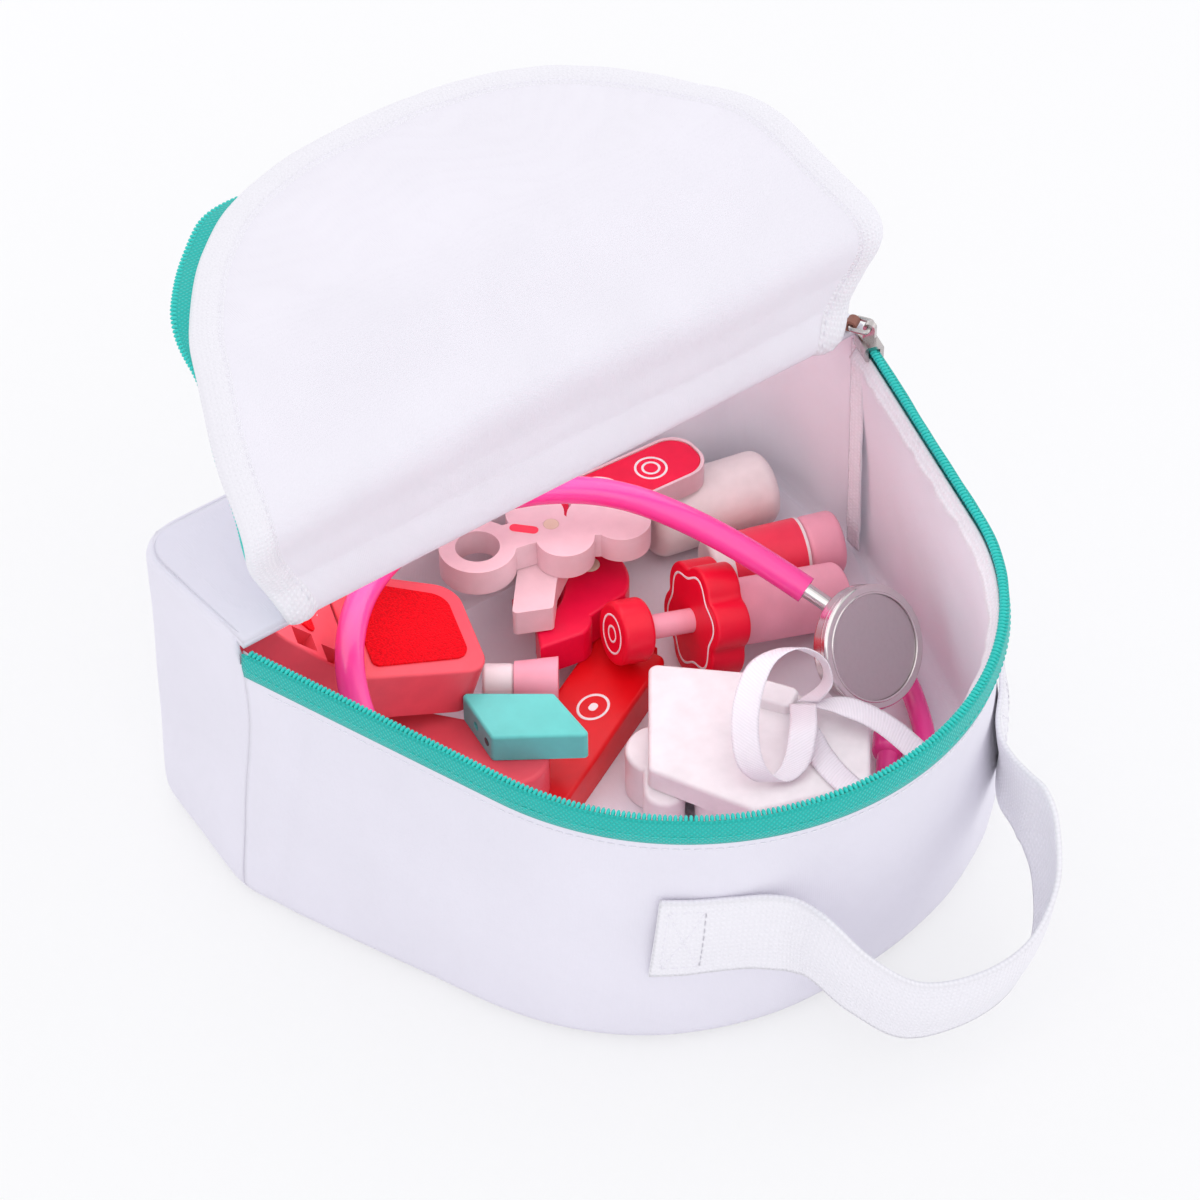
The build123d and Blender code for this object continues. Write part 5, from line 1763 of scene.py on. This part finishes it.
# ---- the handle ---------------------------------------------------------------------------------
@dataclass(frozen=True)
class Handle:
    """Carrying handle: one strap of webbing, sewn to the front at both ends. Millimetres."""
    width: float = 30.0
    thickness: float = 1.6
    height: float = 50.0
    loop_start: Point = (10.0, -161.6)
    droop: float = 30.0
    tip: float = 14.0
    sink: float = 9.0
    curl: float = 0.5
    waves: Waves = Waves(0.5, 22.0, 8.0)
    wall_lean: float = 0.165
    wall_gap: float = 0.7
    left: Table = (
        (-63.7, -124.4), (-55.5, -130.9), (-46.5, -136.6), (-39.5, -141.6), (-34.8, -147.8), (-33.0, -154.5),
        (-32.2, -160.5))
    right: Table = (
        (52.2, -160.5), (52.6, -152.0), (53.0, -143.5), (55.0, -136.0), (59.7, -128.6), (68.5, -119.8),
        (76.5, -110.9))
    loop: Table = ((-36.5, 12.5), (-24.0, 24.0), (-4.0, 30.0), (14.0, 29.0), (30.0, 21.0), (39.0, 9.0))
    box: Table = ((0, 0.12), (1, 0.12), (1, 0.88), (0, 0.88), (0, 0.12), (1, 0.88), (1, 0.12), (0, 0.88))
    shell: CaseShell = field(default_factory=CaseShell)

    @cached_property
    def path(self) -> Path:
        """Middle line of the strap."""
        fall = math.radians(self.droop)
        middle, front = self.loop_start
        points = [(x, y, self.height) for x, y in self.left]
        points += [(middle + x, front - reach * math.cos(fall),
                    self.height - reach * math.sin(fall) - self.sink * smooth_step(4, 28, reach))
                   for x, reach in self.loop]
        points += [(x, y, self.height) for x, y in self.right]
        return Path(points)

    def across(self, spot: Vector) -> Vector:
        """Direction of the strap's width, which tips over with the loop.

        Args:
            spot: Point of the middle line.

        Returns:
            The direction.
        """
        share = smooth_step(-150.0, -168.0, spot.y)
        upright = Vector((0, -self.wall_lean, 1)).normalized()
        fall = math.radians(self.tip)
        tipped = Vector((0, -math.sin(fall), math.cos(fall)))
        return upright.lerp(tipped, share).normalized()

    def point(self, share: float, across: float, lift: float = 0.0) -> tuple[Vector, Vector]:
        """Point of the strap.

        Args:
            share: Share of its length.
            across: Share of its width.
            lift: Distance outside its middle.

        Returns:
            The point in millimetres and the outward direction.
        """
        spot, way = self.path.at(share), self.path.way(share)
        width = self.across(spot)
        out = way.cross(width).normalized()
        curl = self.curl * math.cos(2 * math.pi * (across - 0.5)) \
            + self.waves.at(*(spot + width * across * 20))
        place = spot + width * (across - 0.5) * self.width
        away = Vector((place.x, place.y + 45.0, 0)).normalized()
        held = 1 - smooth_step(-140.0, -160.0, place.y)
        return place + out * (lift + curl) + away * (self.shell.belly(place) + self.wall_gap) * held, out

    def box_stitch(self, name: str, low: float, high: float, finishes: Finishes) -> None:
        """Sews a box with a cross in it through the strap and the wall.

        Args:
            name: Name of the piece.
            low: Share of the strap where the box starts.
            high: Share where it ends.
            finishes: All finishes.
        """
        corners = [(low + (high - low) * along, across) for along, across in self.box]
        bm = bmesh.new()
        row = StitchRow(2.8, 2.1, 0.42)
        for (a, b), (c, d) in zip(corners, corners[1:]):
            start, end = self.point(a, b)[0], self.point(c, d)[0]
            count = max(int((end - start).length / row.pitch), 2)
            for index in range(count):
                share = (index + 0.5) / count
                spot, out = self.point(a + (c - a) * share, b + (d - b) * share, self.thickness / 2 + 0.1)
                row.stitch(bm, spot, (end - start).normalized(), out)
        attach(add_piece(bm, name, finishes.thread, "webbing_white"), Body.CASE.value)

    def build(self, finishes: Finishes) -> None:
        """Builds the strap and its stitching.

        Args:
            finishes: All finishes.
        """
        sheet = mapped_sheet(200, 16, lambda along, across: self.point(along, across)[0] * MM,
                             (self.path.length * MM, self.width * MM))
        strap = add_piece(sheet, "handle_strap", finishes.webbing, "webbing_white")
        add_thickness(strap, self.thickness, 0.0)
        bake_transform(strap)
        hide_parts("handle_end_left", "handle_end_right", "handle_loop")
        self.box_stitch("handle_stitches_left", 0.012, 0.058, finishes)
        self.box_stitch("handle_stitches_right", 0.915, 0.985, finishes)


# ---- the ribbon ---------------------------------------------------------------------------------
@dataclass(frozen=True)
class SatinRibbon:
    """Ribbon tied to the badge's clip: a standing loop and two loose tails. Millimetres."""
    width: float = 8.6
    thickness: float = 0.35
    level: Spot = (0.793, -0.609, 0.0)
    tilted: Spot = (-0.438, -0.58, 0.687)
    loop: tuple[Spot, ...] = (
        (40.6, -69.1, 34.0), (46.2, -71.3, 41.0), (45.9, -68.9, 49.0), (39.3, -63.5, 54.0),
        (29.3, -61.2, 53.0), (19.9, -65.4, 49.0), (11.6, -73.4, 43.0), (7.4, -82.4, 36.5),
        (11.8, -87.7, 31.8), (20.6, -87.0, 33.0), (29.4, -80.0, 37.0), (38.1, -69.6, 35.0))
    loop_turn: Table = ((0.0, 40), (0.12, 78), (0.22, 62), (0.34, 26), (0.48, 2), (0.8, 0), (1.0, 18))
    tails: tuple[tuple[Spot, ...], ...] = (
        ((39.9, -69.0, 33.5), (46.8, -78.1, 35.8), (53.0, -91.1, 34.0), (56.7, -108.8, 29.0)),
        ((38.1, -69.3, 32.6), (32.6, -81.3, 30.6), (30.0, -94.0, 30.3), (29.6, -104.5, 30.4)),
    )

    def loop_place(self, path: Path) -> Place:
        """Points of the loop, whose width turns from level to tilted where it stands on edge.

        Args:
            path: The loop's middle line.

        Returns:
            The function that places the loop's points.
        """
        def place(along: float, across: float) -> Vector:
            """Point of the loop.

            Args:
                along: Share of its length.
                across: Share of its width.

            Returns:
                The point in metres.
            """
            turn = math.radians(interpolate(self.loop_turn, along))
            side = Vector(self.level) * math.cos(turn) + Vector(self.tilted) * math.sin(turn)
            return (path.at(along) + side * (across - 0.5) * self.width) * MM
        return place

    def tail_place(self, path: Path) -> Place:
        """Points of a tail, which is pinched at the clip and cut aslant at its end.

        Args:
            path: The tail's middle line.

        Returns:
            The function that places the tail's points.
        """
        def place(along: float, across: float) -> Vector:
            """Point of the tail.

            Args:
                along: Share of its length.
                across: Share of its width.

            Returns:
                The point in metres.
            """
            reach = along * (1 - 0.08 * across)
            side = path.way(reach).cross(Vector((0, 0, 1))).normalized()
            width = self.width * (0.35 + 0.65 * smooth_step(0.0, 0.35, along))
            curl = 0.5 * math.sin(math.pi * across) * smooth_step(0.1, 0.5, along)
            return (path.at(reach) + side * (across - 0.5) * width + Vector((0, 0, curl))) * MM
        return place

    def lay(self, name: str, columns: int, path: Path, place: Place,
            finishes: Finishes) -> bpy.types.Object:
        """Lays one length of the ribbon.

        Args:
            name: Name of the piece.
            columns: Quads along it.
            path: Its middle line.
            place: Gives its points.
            finishes: All finishes.

        Returns:
            The piece.
        """
        sheet = mapped_sheet(columns, 8, place, (path.length * MM, self.width * MM))
        piece = add_piece(sheet, name, finishes.ribbon, "ribbon_white")
        add_thickness(piece, self.thickness, 0.0)
        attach(piece, Body.CASE.value)
        return piece

    def build(self, finishes: Finishes) -> None:
        """Builds the loop and the tails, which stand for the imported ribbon.

        Args:
            finishes: All finishes.
        """
        path = Path(self.loop)
        loop = self.lay("ribbon_loop", 120, path, self.loop_place(path), finishes)
        for index, points in enumerate(self.tails):
            path = Path(points)
            self.lay(f"ribbon_tail_{index + 1}", 60, path, self.tail_place(path), finishes)
        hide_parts("ribbon")


# ---- the toys -----------------------------------------------------------------------------------
@dataclass(frozen=True)
class Seat:
    """Place of a flat decoration: a point, the direction it faces and the direction of its X."""
    spot: Spot
    face: Spot
    along: Spot = (1.0, 0.0, 0.0)

    def matrix(self) -> Matrix:
        """Turns the decoration's own frame, in metres, into the model's."""
        z = Vector(self.face).normalized()
        x = (Vector(self.along) - z * Vector(self.along).dot(z)).normalized()
        place = Matrix((x, z.cross(x), z)).transposed().to_4x4()
        place.translation = mm(*self.spot)
        return place


@dataclass(frozen=True)
class Print:
    """Thin flat shape on a toy: a print, and on the teal block the painted shade of a peg hole. Millimetres.
    """
    name: str
    seat: Seat
    body: Body

    def lay(self, bm: bmesh.types.BMesh, height: float, material: bpy.types.Material, slot: str,
            smooth: bool = True) -> None:
        """Lays the shape on its seat.

        Args:
            bm: The shape, in the seat's frame.
            height: Thickness of the paint.
            material: Its material.
            slot: The record's material slot.
            smooth: Whether it is shaded smooth.
        """
        bmesh.ops.transform(bm, matrix=self.seat.matrix(), verts=bm.verts)
        piece = add_piece(bm, self.name, material, slot, smooth)
        add_thickness(piece, height, 0.0)
        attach(piece, self.body.value)


@dataclass(frozen=True)
class PrintedLine(Print):
    """Thin printed line, closed, drawn by its radius round a centre. Millimetres."""
    radius: float
    stretch: float = 1.0
    lobes: int = 0
    depth: float = 0.0
    width: float = 0.7

    def build(self, material: bpy.types.Material, slot: str) -> None:
        """Builds the line.

        Args:
            material: Its material.
            slot: The record's material slot.
        """
        def place(along: float, across: float) -> Vector:
            """Point of the line.

            Args:
                along: Share of the way round.
                across: Share of its width.

            Returns:
                The point in metres, in the seat's frame.
            """
            angle = 2 * math.pi * along
            reach = self.radius + self.depth * math.cos(self.lobes * angle) + (across - 0.5) * self.width
            return mm(reach * self.stretch * math.cos(angle), reach * math.sin(angle), PRINT_LIFT)
        bm = mapped_sheet(120, 2, place)
        bmesh.ops.recalc_face_normals(bm, faces=bm.faces)
        self.lay(bm, 0.12, material, slot)


@dataclass(frozen=True)
class PrintAndShadePatch(Print):
    """Small flat patch with rounded ends: a print on a toy, and also the painted shade of the block's peg
    hole. Millimetres.
    """
    length: float
    width: float

    def build(self, material: bpy.types.Material, slot: str) -> None:
        """Builds the patch.

        Args:
            material: Its material.
            slot: The record's material slot.
        """
        bm = bmesh.new()
        bmesh.ops.create_grid(bm, x_segments=1, y_segments=1, size=0.5)
        bmesh.ops.scale(bm, vec=(self.length * MM, self.width * MM, 1), verts=bm.verts)
        bmesh.ops.bevel(bm, geom=bm.verts[:], offset=min(self.width, self.length) * 0.49 * MM, segments=8,
                        profile=0.5, affect="VERTICES", material=-1)
        bmesh.ops.translate(bm, vec=mm(0, 0, PRINT_LIFT), verts=bm.verts)
        self.lay(bm, 0.14, material, slot, False)


@dataclass(frozen=True)
class Toys:
    """Finishes, small printed decorations and a patch of painted shade in a peg hole, on the wooden toys."""
    syringe_way: Spot = (0.957, -0.233, -0.172)
    knob_end: Spot = (13.0, -4.7, 31.0)
    slab: Seat = Seat((-3.3, -15.8, 16.8), (0, 0, 1), (0.93, 0.36, 0))
    thermometer: Seat = Seat((66.5, 43.6, 39.0), (0, 0, 1))
    forcep: Seat = Seat((8.7, 36.0, 49.6), (0, 0, 1), (0.66, -0.75, 0))
    block: Seat = Seat((-49.9, -23.0, 36.0), (-0.984, 0.179, 0), (0, 0, 1))

    def finishes_by_node(self, finishes: Finishes) -> dict[str, bpy.types.Material]:
        """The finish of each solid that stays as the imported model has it.

        Args:
            finishes: All finishes.

        Returns:
            The finish by the solid's name.
        """
        return {
            "left_jaw": finishes.salmon, "right_jaw": finishes.salmon,
            "left_felt": finishes.felt, "right_felt": finishes.felt,
            "plier_arm_lower": finishes.crimson, "plier_arm_upper": finishes.crimson,
            "plier_rivet": finishes.beech, "forcep_pin": finishes.beech,
            "forcep_arm_lower": finishes.blush, "forcep_arm_upper": finishes.blush,
            "plunger_knob": finishes.red, "plunger_rod": finishes.pink,
            "plunger_seal": finishes.tube, "finger_plate": finishes.red, "syringe_barrel": finishes.pink,
            "paste_tube": finishes.scarlet, "spatula": finishes.salmon, "handle_block": finishes.teal,
            "dropper": finishes.pink, "dropper_cap": finishes.white, "tooth": finishes.white,
            "badge_board": finishes.white, "badge_clip": finishes.white,
            "ointment_jar": finishes.cream, "bottle": finishes.cream, "bottle_cap": finishes.pink,
            "bottle_label": finishes.label,
            "thermometer": finishes.blush, "thermometer_face": finishes.crimson,
            "zip_slider": finishes.nickel, "pull_link": finishes.nickel, "pull_tab": finishes.leather,
        }

    def on_syringe(self, distance: float) -> Seat:
        """Seat across the syringe's axis, facing the knob's end, at a distance from it."""
        spot = Vector(self.knob_end) + Vector(self.syringe_way).normalized() * distance
        return Seat(tuple(spot), tuple(-part for part in self.syringe_way), (0, 0, 1))

    def build(self, frame: dict, finishes: Finishes) -> None:
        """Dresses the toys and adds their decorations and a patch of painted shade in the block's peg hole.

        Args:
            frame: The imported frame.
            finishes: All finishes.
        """
        for name, material in self.finishes_by_node(finishes).items():
            dress(frame["nodes"][name], material)
        knob, plate = self.on_syringe(0.0), self.on_syringe(28.0)
        for line in (
            PrintedLine("knob_ring", knob, Body.PLUNGER, 6.4),
            PrintedLine("knob_centre_ring", knob, Body.PLUNGER, 2.6),
            PrintedLine("finger_plate_wave", plate, Body.CASE, 15.2, lobes=6, depth=1.3, width=0.8),
            PrintedLine("thermometer_ring", self.thermometer, Body.CASE, 5.2, width=0.8),
            PrintedLine("thermometer_inner_ring", self.thermometer, Body.CASE, 2.8, width=0.8),
            PrintedLine("slab_ring", self.slab, Body.CASE, 4.6, stretch=1.25, width=0.8),
        ):
            line.build(finishes.print, "wood_white")
        for patch, material, slot in (
            (PrintAndShadePatch("slab_dot", self.slab, Body.CASE, 3.6, 2.6), finishes.print, "wood_white"),
            (PrintAndShadePatch("forcep_stripe", self.forcep, Body.FORCEP_ARM, 9.5, 3.4), finishes.label,
             "wood_salmon"),
            # The block's peg hole is a flat dark disc of painted shade, not a recess.
            (PrintAndShadePatch("block_peg_hole_painted_shade", self.block, Body.CASE, 2.8, 2.8), finishes.shade, "wood_teal"),
        ):
            patch.build(material, slot)


# ---- the whole ----------------------------------------------------------------------------------
def main() -> None:
    """Builds the dressed case."""
    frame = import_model()
    finishes = Finishes()
    Studio().build()
    Stethoscope().build(frame, finishes)
    CaseShell().build(frame, finishes)
    for part in (BodyZip(), Lid(), Handle(), SatinRibbon()):
        part.build(finishes)
    Toys().build(frame, finishes)


if __name__ == "__main__":
    main()
